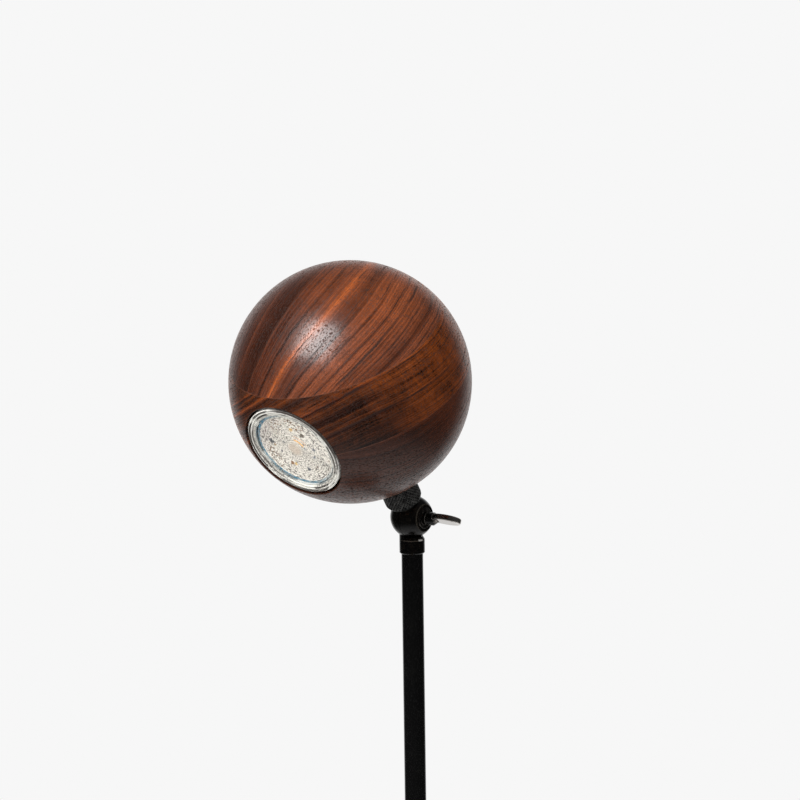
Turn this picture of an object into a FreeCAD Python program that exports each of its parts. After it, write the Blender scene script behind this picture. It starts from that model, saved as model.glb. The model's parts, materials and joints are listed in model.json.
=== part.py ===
import FreeCAD, Part
import math
import os

# A desk lamp whose stem stands on a magnet: a steel ball at the stem's foot sits in a ring magnet
# in a heavy round base, so the stem can be turned and leaned and stays where it is put.
# At the top a friction swivel with a thumb key carries a ball of three glued boards with a
# GU10 lamp in it.
#
# Millimetres. +Z is up, -Y is the way the lamp shines and +X is the side with the thumb key.
# The origin is the middle of the base's underside.

V = FreeCAD.Vector
ORIGIN = V(0, 0, 0)
AXIS_X = V(1, 0, 0)
AXIS_Y = V(0, 1, 0)
AXIS_Z = V(0, 0, 1)

# ---------------------------------------------------------------- clearances
FIT = 0.05              # radial play of a shaft, thread or ball that turns in its seat
LOOSE = 0.3             # play between pieces that only pass each other
PAST = 5.0              # how far a cutting tool runs past what it cuts

# ---------------------------------------------------------------- the lamp as a whole
SWIVEL_HEIGHT = 340.0   # table to the tilt axis
HEAD_TILT = 33.0        # forward tilt of the head as stored, in degrees
NECK_LENGTH = 84.6      # tilt axis to the middle of the wooden ball
LEAN_LIMIT = 15.0       # how far the stem leans each way before it stops, in degrees
BULB_UNLOCK = 20.0      # twist that frees the bulb's pins, in degrees

# ---------------------------------------------------------------- wooden ball
BALL_RADIUS = 57.5
BALL_HOLE_RADIUS = 26.0     # mouth of the ball, round the bulb
MOUTH_DEPTH = 7.0           # straight part of the mouth, behind the bulb's face
HOLDER_ROOM = 3.0           # space left round the lampholder
GLUE_PITCH = -6.2           # how the boards lie in the ball, about X, in degrees
UPPER_GLUE_LINE = 24.7      # distance of each glue line from the ball's middle
LOWER_GLUE_LINE = -4.7
NECK_FLAT_RADIUS = 9.6      # small flat that the knurled ring bears on
WIRE_HOLE_RADIUS = 3.0

# ---------------------------------------------------------------- neck
THREAD_RADIUS = 5.0         # M10 nipple
NIPPLE_BORE_RADIUS = 3.3
NIPPLE_IN_HEAD = 16.0
NIPPLE_IN_SWIVEL = 4.5
INSERT_RADIUS = 8.0
INSERT_LENGTH = 22.0
INSERT_TOP = 3.0            # thickness of the insert's closed end
RING_RADIUS = 9.2
RING_BOTTOM = 10.2          # tilt axis to the ring's lower end
RING_CHAMFER = 0.6

# ---------------------------------------------------------------- swivel
SWIVEL_RADIUS = 10.5
SWIVEL_WALL = 3.5
SPLIT_GAP = 0.3             # line between the two halves
SHANK_RADIUS = 6.2
UPPER_SHANK = 15.0          # tilt axis to the end of the upper shank
LOWER_SHANK = 18.1          # tilt axis to the end of the lower shank
SHANK_CHAMFER = 0.6
SHOULDER_WIDTH = 1.0        # sloped edge where a shank meets the other half
SHOULDER_LENGTH = 1.7
SHOULDER_END = 11.0         # tilt axis to the end of that slope
SOCKET_DEPTH = 6.5          # thread in the lower shank that takes the stem
WASHER_WIDTH = 2.2
WASHER_THICKNESS = 1.1
KEY_SCREW_RADIUS = 2.5
KEY_SCREW_REACH = 6.5       # how far the screw goes past the split
BOSS_START = 1.0            # split to the boss that the key's screw passes through
BOSS_WALL = 1.6
KEY_FLAT = 8.1              # tilt-axis distance of the flat under the key
KEY_WASHER_RADIUS = 5.3
KEY_WASHER_THICKNESS = 1.2
KEY_WASHER_PROUD = 0.4
KEY_HUB_RADIUS = 3.2
KEY_HUB_LENGTH = 5.0
KEY_NOSE_LENGTH = 2.8       # cone from the hub into the blade
KEY_BLADE_OUT = 4.0         # washer's face to the near end of the blade
KEY_BLADE_LENGTH = 16.4
KEY_BLADE_WIDTH = 12.0
KEY_BLADE_THICKNESS = 2.8
KEY_BLADE_ROUND = 0.7
KEY_BLADE_RISE = 0.45       # how far the blade's middle stands off the hub's
KEY_BLADE_TURN = -24.0      # the blade's near edge stands high, in degrees

# ---------------------------------------------------------------- bulb and lampholder
BULB_RADIUS = 24.8
BULB_SET_BACK = 6.5         # front of the whole ball to the bulb's face
BULB_RIM = 3.4              # depth of the rim's straight edge
RIM_SLOPE = 1.7             # its sloped back
BULB_BODY_LENGTH = 47.0     # face to the end of the base
GLASS_WALL = 1.2
MOUTH_RADIUS = 20.6         # inside of the bulb's thick glass rim
LENS_RECESS = 1.5
LENS_THICKNESS = 2.0
LENS_LEDGE = 1.0
BULB_BASE_RADIUS = 12.0
BULB_BASE_LENGTH = 10.0
BULB_BASE_FLOOR = 3.0
BULB_BASE_WALL = 1.6
SPIGOT_LENGTH = 4.0         # part of the base that stands up inside the glass
LED_BOARD_RADIUS = 16.5
LED_BOARD_THICKNESS = 1.6
LED_BOARD_DEPTH = 8.0       # lens to the board's top
LED_CHIP_SIZE = 3.0
LED_CHIP_HEIGHT = 0.8
LED_CHIP_COUNT = 6
LED_CHIP_CIRCLE = 10.0
HEAT_SINK_WALL = 1.5
DRIVER_THICKNESS = 1.6
PIN_RADIUS = 1.5
PIN_HEAD_RADIUS = 2.3
PIN_HEAD_LENGTH = 2.4
PIN_LENGTH = 7.0
PIN_SPREAD = 5.0            # each pin's distance from the bulb's axis
HOLDER_RADIUS = 14.0
HOLDER_LENGTH = 20.0
CONTACT_HEIGHT = 6.0
HOLDER_SCREW_RADIUS = 1.5
HOLDER_SCREW_HEAD = 2.7
HOLDER_SCREW_HEAD_HEIGHT = 2.0
HOLDER_SCREW_SPREAD = 9.8
HOLDER_SCREW_BITE = 12.0

# ---------------------------------------------------------------- stem and foot
TUBE_RADIUS = 5.3
TUBE_BORE_RADIUS = 4.0
TUBE_THREAD_RADIUS = 4.75
FOOT_RADIUS = 16.0
FOOT_ABOVE_BASE = 6.0       # middle of the foot ball over the base's top
TUBE_IN_FOOT = 19.0         # how deep the tube goes into the ball
SLEEVE_BORE_RADIUS = 2.9
SLEEVE_REACH = 6.0          # the end that stands out under the ball and stops the lean
SLEEVE_IN_TUBE = 20.0
LEAD_RADIUS = 2.2
SET_SCREW_RADIUS = 2.0
SET_SCREW_LENGTH = 5.5
SET_SCREW_HEIGHT = 8.0      # above the ball's middle
SET_SCREW_SOCKET = 1.0

# ---------------------------------------------------------------- base
BASE_RADIUS = 75.0
BASE_THICKNESS = 24.0
BASE_ROUND = 4.0
BASE_CHAMFER = 1.0
PAD_THICKNESS = 2.0
PAD_INSET = 2.0
COVER_THICKNESS = 1.5
COVER_INSET = 7.0
POCKET_RADIUS = 45.0
POCKET_DEPTH = 14.0
COVER_SCREW_COUNT = 4
COVER_SCREW_INSET = 6.0
COVER_SCREW_RADIUS = 2.0
COVER_SCREW_HEAD = 3.6
COVER_SCREW_LENGTH = 10.0

# ---------------------------------------------------------------- magnet
MAGNET_RADIUS = 22.0
MAGNET_THICKNESS = 8.0
POT_WALL = 2.0
LIP_THICKNESS = 4.0         # rim of the base that holds the pot down
SEAT_RADIUS = 20.2
SEAT_UNDER_TOP = 0.8        # seat ring's top, below the base's top
SEAT_FLOOR = 1.5            # seat ring's thickness under the ball
SPACER_WIDTH = 5.0

# ---------------------------------------------------------------- switch
SWITCH_INSET = 25.0         # base's edge to the middle of the switch
SWITCH_BODY_RADIUS = 11.0
SWITCH_BODY_HEIGHT = 14.0
SWITCH_POCKET_ROOM = 2.0
SWITCH_PLATE = 4.0          # base left above the switch
BUSH_RADIUS = 3.5
BUSH_WALL = 1.0
BUSH_LENGTH = 7.5
SWITCH_NUT_FLATS = 10.0
SWITCH_NUT_THICKNESS = 2.2
SHAFT_IN_BODY = 5.0
KNOB_RADIUS = 9.0
KNOB_HEIGHT = 14.0
KNOB_OVER_BASE = 0.8
KNOB_ROOM = 4.4             # hollow under the knob, over the nut
KNOB_WALL = 2.2
KNOB_TOP = 2.5
KNOB_CHAMFER = 0.8
KNOB_MARK_WIDTH = 1.0
KNOB_MARK_LENGTH = 5.0
KNOB_MARK_DEPTH = 0.4

# ---------------------------------------------------------------- cable inlet and wiring
GLAND_BORE_RADIUS = 3.2
GLAND_RADIUS = 5.0
GLAND_FLANGE_RADIUS = 6.3
GLAND_FLANGE = 2.5
GLAND_INSIDE = 7.0          # gland past the wall of the pocket
GLAND_NUT_FLATS = 13.0
GLAND_NUT_THICKNESS = 4.0
BLOCK_WIDTH = 13.0
BLOCK_LENGTH = 22.0
BLOCK_HEIGHT = 12.0
BLOCK_GAP = 4.0             # magnet pot to terminal block
BLOCK_SCREW_RADIUS = 1.6
EARTH_SCREW_RADIUS = 2.0
EARTH_SCREW_HEAD = 3.6
EARTH_SCREW_HEAD_HEIGHT = 2.4
EARTH_SCREW_LENGTH = 8.0
BASE_LEAD_RADIUS = 1.8
BASE_LEAD_ANGLE = 234.0     # where the switch's lead passes round the magnet pot, in degrees

# ---------------------------------------------------------------- places worked out from the sizes
BASE_FLOOR = PAD_THICKNESS
BASE_TOP = BASE_FLOOR + BASE_THICKNESS
COVER_TOP = BASE_FLOOR + COVER_THICKNESS
COVER_RADIUS = BASE_RADIUS - COVER_INSET
POCKET_CEILING = COVER_TOP + POCKET_DEPTH

FOOT_HEIGHT = BASE_TOP + FOOT_ABOVE_BASE
SLEEVE_RADIUS = TUBE_BORE_RADIUS - FIT
SLEEVE_TIP = FOOT_RADIUS + SLEEVE_REACH
LEAN = math.radians(LEAN_LIMIT)
MAGNET_HOLE = SLEEVE_TIP * math.sin(LEAN) + SLEEVE_RADIUS * math.cos(LEAN) + LOOSE
SEAT_BOTTOM = FOOT_HEIGHT - math.sqrt(FOOT_RADIUS ** 2 - MAGNET_HOLE ** 2) - SEAT_FLOOR
SEAT_TOP = BASE_TOP - SEAT_UNDER_TOP
MAGNET_BOTTOM = SEAT_BOTTOM - MAGNET_THICKNESS
POT_BOTTOM = MAGNET_BOTTOM - POT_WALL
POT_RADIUS = MAGNET_RADIUS + POT_WALL
POT_TOP = BASE_TOP - LIP_THICKNESS

TUBE_TOP = SWIVEL_HEIGHT - LOWER_SHANK
TUBE_BOTTOM = FOOT_HEIGHT + FOOT_RADIUS - TUBE_IN_FOOT

CAVITY_RADIUS = SWIVEL_RADIUS - SWIVEL_WALL
SWING_RADIUS = SWIVEL_RADIUS + LOOSE
NECK_SEAT = NECK_LENGTH - math.sqrt(BALL_RADIUS ** 2 - NECK_FLAT_RADIUS ** 2)
INSERT_END = NECK_SEAT + INSERT_LENGTH
KEY_WASHER_FACE = KEY_FLAT + KEY_WASHER_PROUD
KEY_WASHER_BACK = KEY_WASHER_FACE - KEY_WASHER_THICKNESS

BULB_FACE = BALL_RADIUS - BULB_SET_BACK
BULB_END = BULB_FACE - BULB_BODY_LENGTH
RIM_BACK = BULB_FACE - BULB_RIM - RIM_SLOPE
CUP_RADIUS = BULB_RADIUS - RIM_SLOPE
LENS_TOP = BULB_FACE - LENS_RECESS
LENS_BOTTOM = LENS_TOP - LENS_THICKNESS
BASE_SHOULDER = BULB_END + BULB_BASE_LENGTH
SPIGOT_RADIUS = BULB_BASE_RADIUS - GLASS_WALL
SPIGOT_TOP = BASE_SHOULDER + SPIGOT_LENGTH
LED_BOARD_TOP = LENS_BOTTOM - LED_BOARD_DEPTH
LED_BOARD_BOTTOM = LED_BOARD_TOP - LED_BOARD_THICKNESS
HOLDER_END = BULB_END - HOLDER_LENGTH
HOLDER_BORE = HOLDER_RADIUS + HOLDER_ROOM
PIN_TIP = BULB_END - PIN_LENGTH
SLOT_HALF_WIDTH = PIN_HEAD_RADIUS + LOOSE
CONTACT_TOP = PIN_TIP - LOOSE
CONTACT_BOTTOM = CONTACT_TOP - CONTACT_HEIGHT

SWITCH_OUT = BASE_RADIUS - SWITCH_INSET
SWITCH_TOP = BASE_TOP - SWITCH_PLATE
SWITCH_BOTTOM = SWITCH_TOP - SWITCH_BODY_HEIGHT
SWITCH_NUT_TOP = BASE_TOP + SWITCH_NUT_THICKNESS
SHAFT_RADIUS = BUSH_RADIUS - BUSH_WALL - FIT
KNOB_BOTTOM = BASE_TOP + KNOB_OVER_BASE
KNOB_CEILING = KNOB_BOTTOM + KNOB_ROOM
KNOB_END = KNOB_BOTTOM + KNOB_HEIGHT
SHAFT_TOP = KNOB_END - KNOB_TOP

GLAND_HEIGHT = (COVER_TOP + POCKET_CEILING) / 2
BLOCK_BOTTOM = POCKET_CEILING - BLOCK_HEIGHT
BLOCK_X = -(POT_RADIUS + BLOCK_GAP + BLOCK_WIDTH / 2)
EARTH_SCREW_OUT = (POT_RADIUS + POCKET_RADIUS) / 2


# ---------------------------------------------------------------- shapes that come back
def rod(radius, low, high):
    """Cylinder about Z between two heights."""
    return Part.makeCylinder(radius, high - low, V(0, 0, low))


def pipe(outer, inner, low, high):
    """Cylinder about Z with a hole right through."""
    return rod(outer, low, high).cut(rod(inner, low - PAST, high + PAST))


def lathe(outline):
    """Solid turned about Z from (radius, height) points."""
    points = [V(radius, 0, height) for radius, height in outline]
    face = Part.Face(Part.makePolygon(points + points[:1]))
    return face.revolve(ORIGIN, AXIS_Z, 360)


def sphere(radius, height=0.0):
    return Part.makeSphere(radius, V(0, 0, height))


def slab(low_corner, high_corner):
    """Box between two opposite corners."""
    size = high_corner - low_corner
    return Part.makeBox(size.x, size.y, size.z, low_corner)


def hexagon(flats, low, high):
    """Six-sided prism about Z, a given distance across its flats."""
    corner = flats / math.sqrt(3)
    points = []
    for side in range(7):
        angle = math.radians(60 * side)
        points.append(V(corner * math.cos(angle), corner * math.sin(angle), low))
    return Part.Face(Part.makePolygon(points)).extrude(V(0, 0, high - low))


def along_x(shape):
    """Turn a shape made about Z so that its +Z points along +X."""
    turned = shape.copy()
    turned.rotate(ORIGIN, AXIS_Y, 90)
    return turned


def along_y(shape):
    """Turn a shape made about Z so that its +Z points along +Y."""
    turned = shape.copy()
    turned.rotate(ORIGIN, AXIS_X, -90)
    return turned


def moved(shape, x=0.0, y=0.0, z=0.0):
    copy = shape.copy()
    copy.translate(V(x, y, z))
    return copy


def ring_of(shape, count, first_angle=0.0):
    """Copies of a shape, evenly round Z."""
    copies = []
    for index in range(count):
        copy = shape.copy()
        copy.rotate(ORIGIN, AXIS_Z, first_angle + 360.0 * index / count)
        copies.append(copy)
    return copies


def wire_tube(radius, points, bend):
    """Round wire through points, with an arc of one radius at each corner."""
    edges = []
    start = points[0]
    for index in range(1, len(points) - 1):
        corner = points[index]
        back = (points[index - 1] - corner).normalize()
        ahead = (points[index + 1] - corner).normalize()
        half_angle = back.getAngle(ahead) / 2
        setback = bend / math.tan(half_angle)
        inward = (back + ahead).normalize()
        centre = corner + inward * (bend / math.sin(half_angle))
        arc_start = corner + back * setback
        arc_end = corner + ahead * setback
        edges.append(Part.LineSegment(start, arc_start).toShape())
        edges.append(Part.Arc(arc_start, centre - inward * bend, arc_end).toShape())
        start = arc_end
    edges.append(Part.LineSegment(start, points[-1]).toShape())
    path = Part.Wire(edges)
    section = Part.Wire(Part.makeCircle(radius, points[0], points[1] - points[0]))
    return path.makePipeShell([section], True, False)


def in_head(shape):
    """From the neck's own frame (tilt axis at zero, neck up) to the stored, tilted place."""
    placed = shape.copy()
    placed.rotate(ORIGIN, AXIS_X, HEAD_TILT)
    placed.translate(V(0, 0, SWIVEL_HEIGHT))
    return placed


def facing_front(shape):
    """From the bulb's frame (ball's middle at zero, light along +Z) to the neck's frame."""
    placed = shape.copy()
    placed.rotate(ORIGIN, AXIS_X, 90)
    placed.translate(V(0, 0, NECK_LENGTH))
    return placed


def at_swivel(shape):
    """From the swivel's frame (tilt axis at zero) up to its height on the stem."""
    return moved(shape, z=SWIVEL_HEIGHT)


# ---------------------------------------------------------------- wooden ball
def glue_block(low, high):
    """Everything between two levels across the glue lines, in the neck's frame."""
    reach = 2 * BALL_RADIUS
    block = slab(V(-reach, -reach, low), V(reach, reach, high))
    block.rotate(ORIGIN, AXIS_X, GLUE_PITCH)
    return moved(block, z=NECK_LENGTH)


def lamp_cavity():
    """Mouth, cone and bore that the bulb and its holder stand in, in the bulb's frame."""
    mouth_end = BULB_FACE - MOUTH_DEPTH
    holder_front = BASE_SHOULDER
    return lathe([
        (0, HOLDER_END),
        (HOLDER_BORE, HOLDER_END),
        (HOLDER_BORE, holder_front),
        (BALL_HOLE_RADIUS, mouth_end),
        (BALL_HOLE_RADIUS, BALL_RADIUS + PAST),
        (0, BALL_RADIUS + PAST),
    ])


def turned_ball():
    """The ball before it is parted into its boards, in the neck's frame."""
    ball = sphere(BALL_RADIUS, NECK_LENGTH)
    cuts = [
        facing_front(lamp_cavity()),
        rod(BALL_RADIUS, NECK_SEAT - BALL_RADIUS, NECK_SEAT),
        rod(INSERT_RADIUS + FIT, NECK_SEAT - PAST, INSERT_END),
        rod(WIRE_HOLE_RADIUS, NECK_SEAT, NECK_LENGTH),
    ]
    pilot = rod(HOLDER_SCREW_RADIUS + FIT, HOLDER_END - HOLDER_SCREW_BITE, HOLDER_END + PAST)
    for side in (-1, 1):
        cuts.append(facing_front(moved(pilot, y=side * HOLDER_SCREW_SPREAD)))
    for cut in cuts:
        ball = ball.cut(cut)
    return ball


def ball_boards():
    ball = turned_ball()
    reach = 2 * BALL_RADIUS
    levels = {
        "head_top_board": (UPPER_GLUE_LINE, reach),
        "head_middle_board": (LOWER_GLUE_LINE, UPPER_GLUE_LINE),
        "head_lower_board": (-reach, LOWER_GLUE_LINE),
    }
    return {name: in_head(ball.common(glue_block(low, high))) for name, (low, high) in levels.items()}


# ---------------------------------------------------------------- neck
def neck_insert():
    """Brass bush screwed into the wood, with the thread that the nipple turns in."""
    body = rod(INSERT_RADIUS, NECK_SEAT, INSERT_END)
    body = body.cut(rod(THREAD_RADIUS + FIT, NECK_SEAT - PAST, INSERT_END - INSERT_TOP))
    body = body.cut(rod(WIRE_HOLE_RADIUS, NECK_SEAT, INSERT_END + PAST))
    return in_head(body)


def threaded_nipple():
    low = UPPER_SHANK - NIPPLE_IN_SWIVEL
    high = NECK_SEAT + NIPPLE_IN_HEAD
    return in_head(pipe(THREAD_RADIUS, NIPPLE_BORE_RADIUS, low, high))


def knurled_ring():
    """Lock ring on the nipple, between the swivel and the ball."""
    body = lathe([
        (0, RING_BOTTOM),
        (RING_RADIUS - RING_CHAMFER, RING_BOTTOM),
        (RING_RADIUS, RING_BOTTOM + RING_CHAMFER),
        (RING_RADIUS, NECK_SEAT - RING_CHAMFER),
        (RING_RADIUS - RING_CHAMFER, NECK_SEAT),
        (0, NECK_SEAT),
    ])
    body = body.cut(rod(THREAD_RADIUS + FIT, 0, NECK_SEAT + PAST))
    body = body.cut(rod(SHANK_RADIUS + LOOSE, 0, UPPER_SHANK + LOOSE))
    return in_head(body)


# ---------------------------------------------------------------- swivel
def beyond_split(side):
    """Everything on one side of the split, short of the gap between the halves."""
    reach = NECK_LENGTH
    near = SPLIT_GAP / 2
    if side > 0:
        return slab(V(near, -reach, -reach), V(reach, reach, reach))
    return slab(V(-reach, -reach, -reach), V(-near, reach, reach))


def shank_shape(length, shoulder):
    """Round shank standing on the tilt axis, with a slope near its root where shoulder is wide."""
    return lathe([
        (0, 0),
        (SHANK_RADIUS - shoulder, 0),
        (SHANK_RADIUS - shoulder, SHOULDER_END - SHOULDER_LENGTH),
        (SHANK_RADIUS, SHOULDER_END),
        (SHANK_RADIUS, length - SHANK_CHAMFER),
        (SHANK_RADIUS - SHANK_CHAMFER, length),
        (0, length),
    ])


def swivel_half(side, shank):
    """Half of the hollow swivel ball with its round shank, the shank standing up.

    side is +1 for the half under the key and -1 for the half that the key's screw bites in.
    Past the ball the shank is whole; its far side ends where the other half swings.
    """
    near_side = sphere(SWIVEL_RADIUS).fuse(shank_shape(shank, 0)).common(beyond_split(side))
    whole_shank = shank_shape(shank, SHOULDER_WIDTH).cut(sphere(SWING_RADIUS))
    body = near_side.fuse(whole_shank).cut(sphere(CAVITY_RADIUS))
    boss_end = SWIVEL_RADIUS - SWIVEL_WALL / 2
    boss = along_x(rod(KEY_SCREW_RADIUS + BOSS_WALL, BOSS_START, boss_end))
    if side < 0:
        boss.rotate(ORIGIN, AXIS_Z, 180)
    groove = along_x(pipe(CAVITY_RADIUS + WASHER_WIDTH + LOOSE, CAVITY_RADIUS - LOOSE,
                          -WASHER_THICKNESS / 2, WASHER_THICKNESS / 2))
    return body.fuse(boss).cut(groove).removeSplitter()


def swivel_upper_half():
    body = swivel_half(1, UPPER_SHANK)
    body = body.cut(rod(NIPPLE_BORE_RADIUS, 0, UPPER_SHANK + PAST))
    body = body.cut(rod(THREAD_RADIUS + FIT, UPPER_SHANK - NIPPLE_IN_SWIVEL, UPPER_SHANK + PAST))
    body = body.cut(along_x(rod(SWIVEL_RADIUS, KEY_FLAT, SWIVEL_RADIUS + PAST)))
    body = body.cut(along_x(rod(KEY_WASHER_RADIUS + FIT, KEY_WASHER_BACK, SWIVEL_RADIUS)))
    body = body.cut(along_x(rod(KEY_SCREW_RADIUS + FIT, 0, SWIVEL_RADIUS)))
    return in_head(body)


def swivel_lower_half():
    body = swivel_half(-1, LOWER_SHANK)
    body = body.cut(rod(NIPPLE_BORE_RADIUS, 0, LOWER_SHANK + PAST))
    body = body.cut(rod(TUBE_THREAD_RADIUS + FIT, LOWER_SHANK - SOCKET_DEPTH, LOWER_SHANK + PAST))
    body = body.cut(along_x(rod(KEY_SCREW_RADIUS + FIT, -KEY_SCREW_REACH - LOOSE, 0)))
    body.rotate(ORIGIN, AXIS_X, 180)
    return at_swivel(body)


def friction_washer():
    outer = CAVITY_RADIUS + WASHER_WIDTH
    return at_swivel(along_x(pipe(outer, CAVITY_RADIUS, -WASHER_THICKNESS / 2, WASHER_THICKNESS / 2)))


def key_washer():
    washer = pipe(KEY_WASHER_RADIUS, KEY_SCREW_RADIUS + FIT, KEY_WASHER_BACK, KEY_WASHER_FACE)
    return at_swivel(along_x(washer))


def thumb_key():
    """Screw, hub and oval blade in one piece."""
    hub_end = KEY_WASHER_FACE + KEY_HUB_LENGTH
    nose_end = hub_end + KEY_NOSE_LENGTH
    screw = rod(KEY_SCREW_RADIUS, -KEY_SCREW_REACH, KEY_WASHER_FACE)
    hub = lathe([
        (0, KEY_WASHER_FACE),
        (KEY_HUB_RADIUS, KEY_WASHER_FACE),
        (KEY_HUB_RADIUS, hub_end),
        (KEY_BLADE_THICKNESS / 2, nose_end),
        (0, nose_end),
    ])
    blade_middle = KEY_WASHER_FACE + KEY_BLADE_OUT + KEY_BLADE_LENGTH / 2
    oval = Part.Ellipse(V(blade_middle + KEY_BLADE_LENGTH / 2, 0, 0),
                        V(blade_middle, KEY_BLADE_WIDTH / 2, 0),
                        V(blade_middle, 0, 0)).toShape()
    blade = Part.Face(Part.Wire(oval)).extrude(V(0, 0, KEY_BLADE_THICKNESS))
    blade.translate(V(0, 0, KEY_BLADE_RISE - KEY_BLADE_THICKNESS / 2))
    rims = [edge for edge in blade.Edges if abs(edge.BoundBox.ZLength) < KEY_BLADE_ROUND / 2]
    blade = blade.makeFillet(KEY_BLADE_ROUND, rims).Solids[0]
    blade.rotate(ORIGIN, AXIS_X, KEY_BLADE_TURN)
    key = along_x(screw.fuse(hub)).fuse(blade)
    return at_swivel(key)


# ---------------------------------------------------------------- bulb, in its own frame
def bulb_side(inset):
    """Curved side of the bulb's cup, from the base up to the back of the rim."""
    foot = V(BULB_BASE_RADIUS - inset, 0, BASE_SHOULDER)
    top = V(CUP_RADIUS - inset, 0, RIM_BACK)
    belly = V((foot.x + top.x) / 2, 0, (foot.z + top.z) / 2 - 2 * GLASS_WALL)
    curve = Part.BSplineCurve()
    curve.interpolate([foot, belly, top])
    return curve.toShape()


def bulb_glass():
    """Cup behind the rim, open at both ends."""
    outer = bulb_side(0)
    inner = bulb_side(GLASS_WALL)
    ends = [Part.LineSegment(inner.Vertexes[end].Point, outer.Vertexes[end].Point).toShape()
            for end in (0, -1)]
    outline = Part.Wire(Part.__sortEdges__([outer, inner, *ends]))
    return Part.Face(outline).revolve(ORIGIN, AXIS_Z, 360)


def bulb_rim():
    """Thick front ring that stands on the cup and holds the lens on a ledge."""
    return lathe([
        (CUP_RADIUS - GLASS_WALL, RIM_BACK),
        (CUP_RADIUS, RIM_BACK),
        (BULB_RADIUS, BULB_FACE - BULB_RIM),
        (BULB_RADIUS, BULB_FACE),
        (MOUTH_RADIUS, BULB_FACE),
        (MOUTH_RADIUS, LENS_BOTTOM),
        (MOUTH_RADIUS - LENS_LEDGE, LENS_BOTTOM),
    ])


def bulb_lens():
    return rod(MOUTH_RADIUS - FIT, LENS_BOTTOM, LENS_TOP)


def bulb_led_board():
    return rod(LED_BOARD_RADIUS, LED_BOARD_BOTTOM, LED_BOARD_TOP)


def bulb_led_chips():
    half = LED_CHIP_SIZE / 2
    chip = slab(V(-half, -half, LED_BOARD_TOP), V(half, half, LED_BOARD_TOP + LED_CHIP_HEIGHT))
    outer = ring_of(moved(chip, x=LED_CHIP_CIRCLE), LED_CHIP_COUNT)
    return Part.makeCompound([chip, *outer])


def bulb_heat_sink():
    """Thin aluminium cup that carries the LED board over the bulb's base."""
    top_radius = LED_BOARD_RADIUS
    outer = lathe([
        (0, SPIGOT_TOP),
        (SPIGOT_RADIUS - GLASS_WALL, SPIGOT_TOP),
        (top_radius, LED_BOARD_BOTTOM),
        (0, LED_BOARD_BOTTOM),
    ])
    inner = lathe([
        (0, SPIGOT_TOP - PAST),
        (SPIGOT_RADIUS - GLASS_WALL - HEAT_SINK_WALL, SPIGOT_TOP - PAST),
        (SPIGOT_RADIUS - GLASS_WALL - HEAT_SINK_WALL, SPIGOT_TOP),
        (top_radius - 2 * HEAT_SINK_WALL, LED_BOARD_BOTTOM - HEAT_SINK_WALL),
        (0, LED_BOARD_BOTTOM - HEAT_SINK_WALL),
    ])
    return outer.cut(inner)


def bulb_base():
    """Moulded cup with the pins in its floor and a spigot up into the glass."""
    outer = lathe([
        (0, BULB_END),
        (BULB_BASE_RADIUS - BULB_BASE_WALL, BULB_END),
        (BULB_BASE_RADIUS, BULB_END + BULB_BASE_WALL),
        (BULB_BASE_RADIUS, BASE_SHOULDER),
        (SPIGOT_RADIUS - FIT, BASE_SHOULDER),
        (SPIGOT_RADIUS - FIT, SPIGOT_TOP),
        (0, SPIGOT_TOP),
    ])
    hollow = rod(SPIGOT_RADIUS - BULB_BASE_WALL, BULB_END + BULB_BASE_FLOOR, SPIGOT_TOP + PAST)
    body = outer.cut(hollow)
    pin_hole = rod(PIN_RADIUS + FIT, BULB_END - PAST, BULB_END + BULB_BASE_FLOOR + PAST)
    for side in (-1, 1):
        body = body.cut(moved(pin_hole, x=side * PIN_SPREAD))
    return body


def bulb_driver():
    """Small circuit board on edge in the bulb's base."""
    half_width = SPIGOT_RADIUS - BULB_BASE_WALL - LOOSE
    half_depth = DRIVER_THICKNESS / 2
    return slab(V(-half_width, -half_depth, BULB_END + BULB_BASE_FLOOR + LOOSE),
                V(half_width, half_depth, SPIGOT_TOP - LOOSE))


def bulb_pins():
    """Two pins with wide ends that hook behind the lampholder's slots."""
    pin = rod(PIN_RADIUS, PIN_TIP, BULB_END + BULB_BASE_FLOOR)
    pin = pin.fuse(rod(PIN_HEAD_RADIUS, PIN_TIP, PIN_TIP + PIN_HEAD_LENGTH))
    return Part.makeCompound([moved(pin, x=side * PIN_SPREAD) for side in (-1, 1)])


# ---------------------------------------------------------------- lampholder, in the bulb's frame
def pin_path(half_width, low, high):
    """The room that one pin sweeps as the bulb is twisted free."""
    sweep = Part.makeCylinder(PIN_SPREAD + half_width, high - low, V(0, 0, low), AXIS_Z, BULB_UNLOCK)
    sweep = sweep.cut(rod(PIN_SPREAD - half_width, low - PAST, high + PAST))
    locked = moved(rod(half_width, low, high), x=PIN_SPREAD)
    freed = locked.copy()
    freed.rotate(ORIGIN, AXIS_Z, BULB_UNLOCK)
    return sweep.fuse(locked).fuse(freed).removeSplitter()


def lampholder():
    body = rod(HOLDER_RADIUS, HOLDER_END, BULB_END)
    for slot in ring_of(pin_path(SLOT_HALF_WIDTH, CONTACT_BOTTOM, BULB_END + PAST), 2):
        body = body.cut(slot)
    screw_hole = rod(HOLDER_SCREW_RADIUS + LOOSE, HOLDER_END - PAST, BULB_END + PAST)
    head_hole = rod(HOLDER_SCREW_HEAD + LOOSE, BULB_END - HOLDER_SCREW_HEAD_HEIGHT, BULB_END + PAST)
    for side in (-1, 1):
        body = body.cut(moved(screw_hole.fuse(head_hole), y=side * HOLDER_SCREW_SPREAD))
    return body


def lampholder_contacts():
    contact = pin_path(SLOT_HALF_WIDTH - FIT, CONTACT_BOTTOM, CONTACT_TOP)
    return Part.makeCompound(ring_of(contact, 2))


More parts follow.
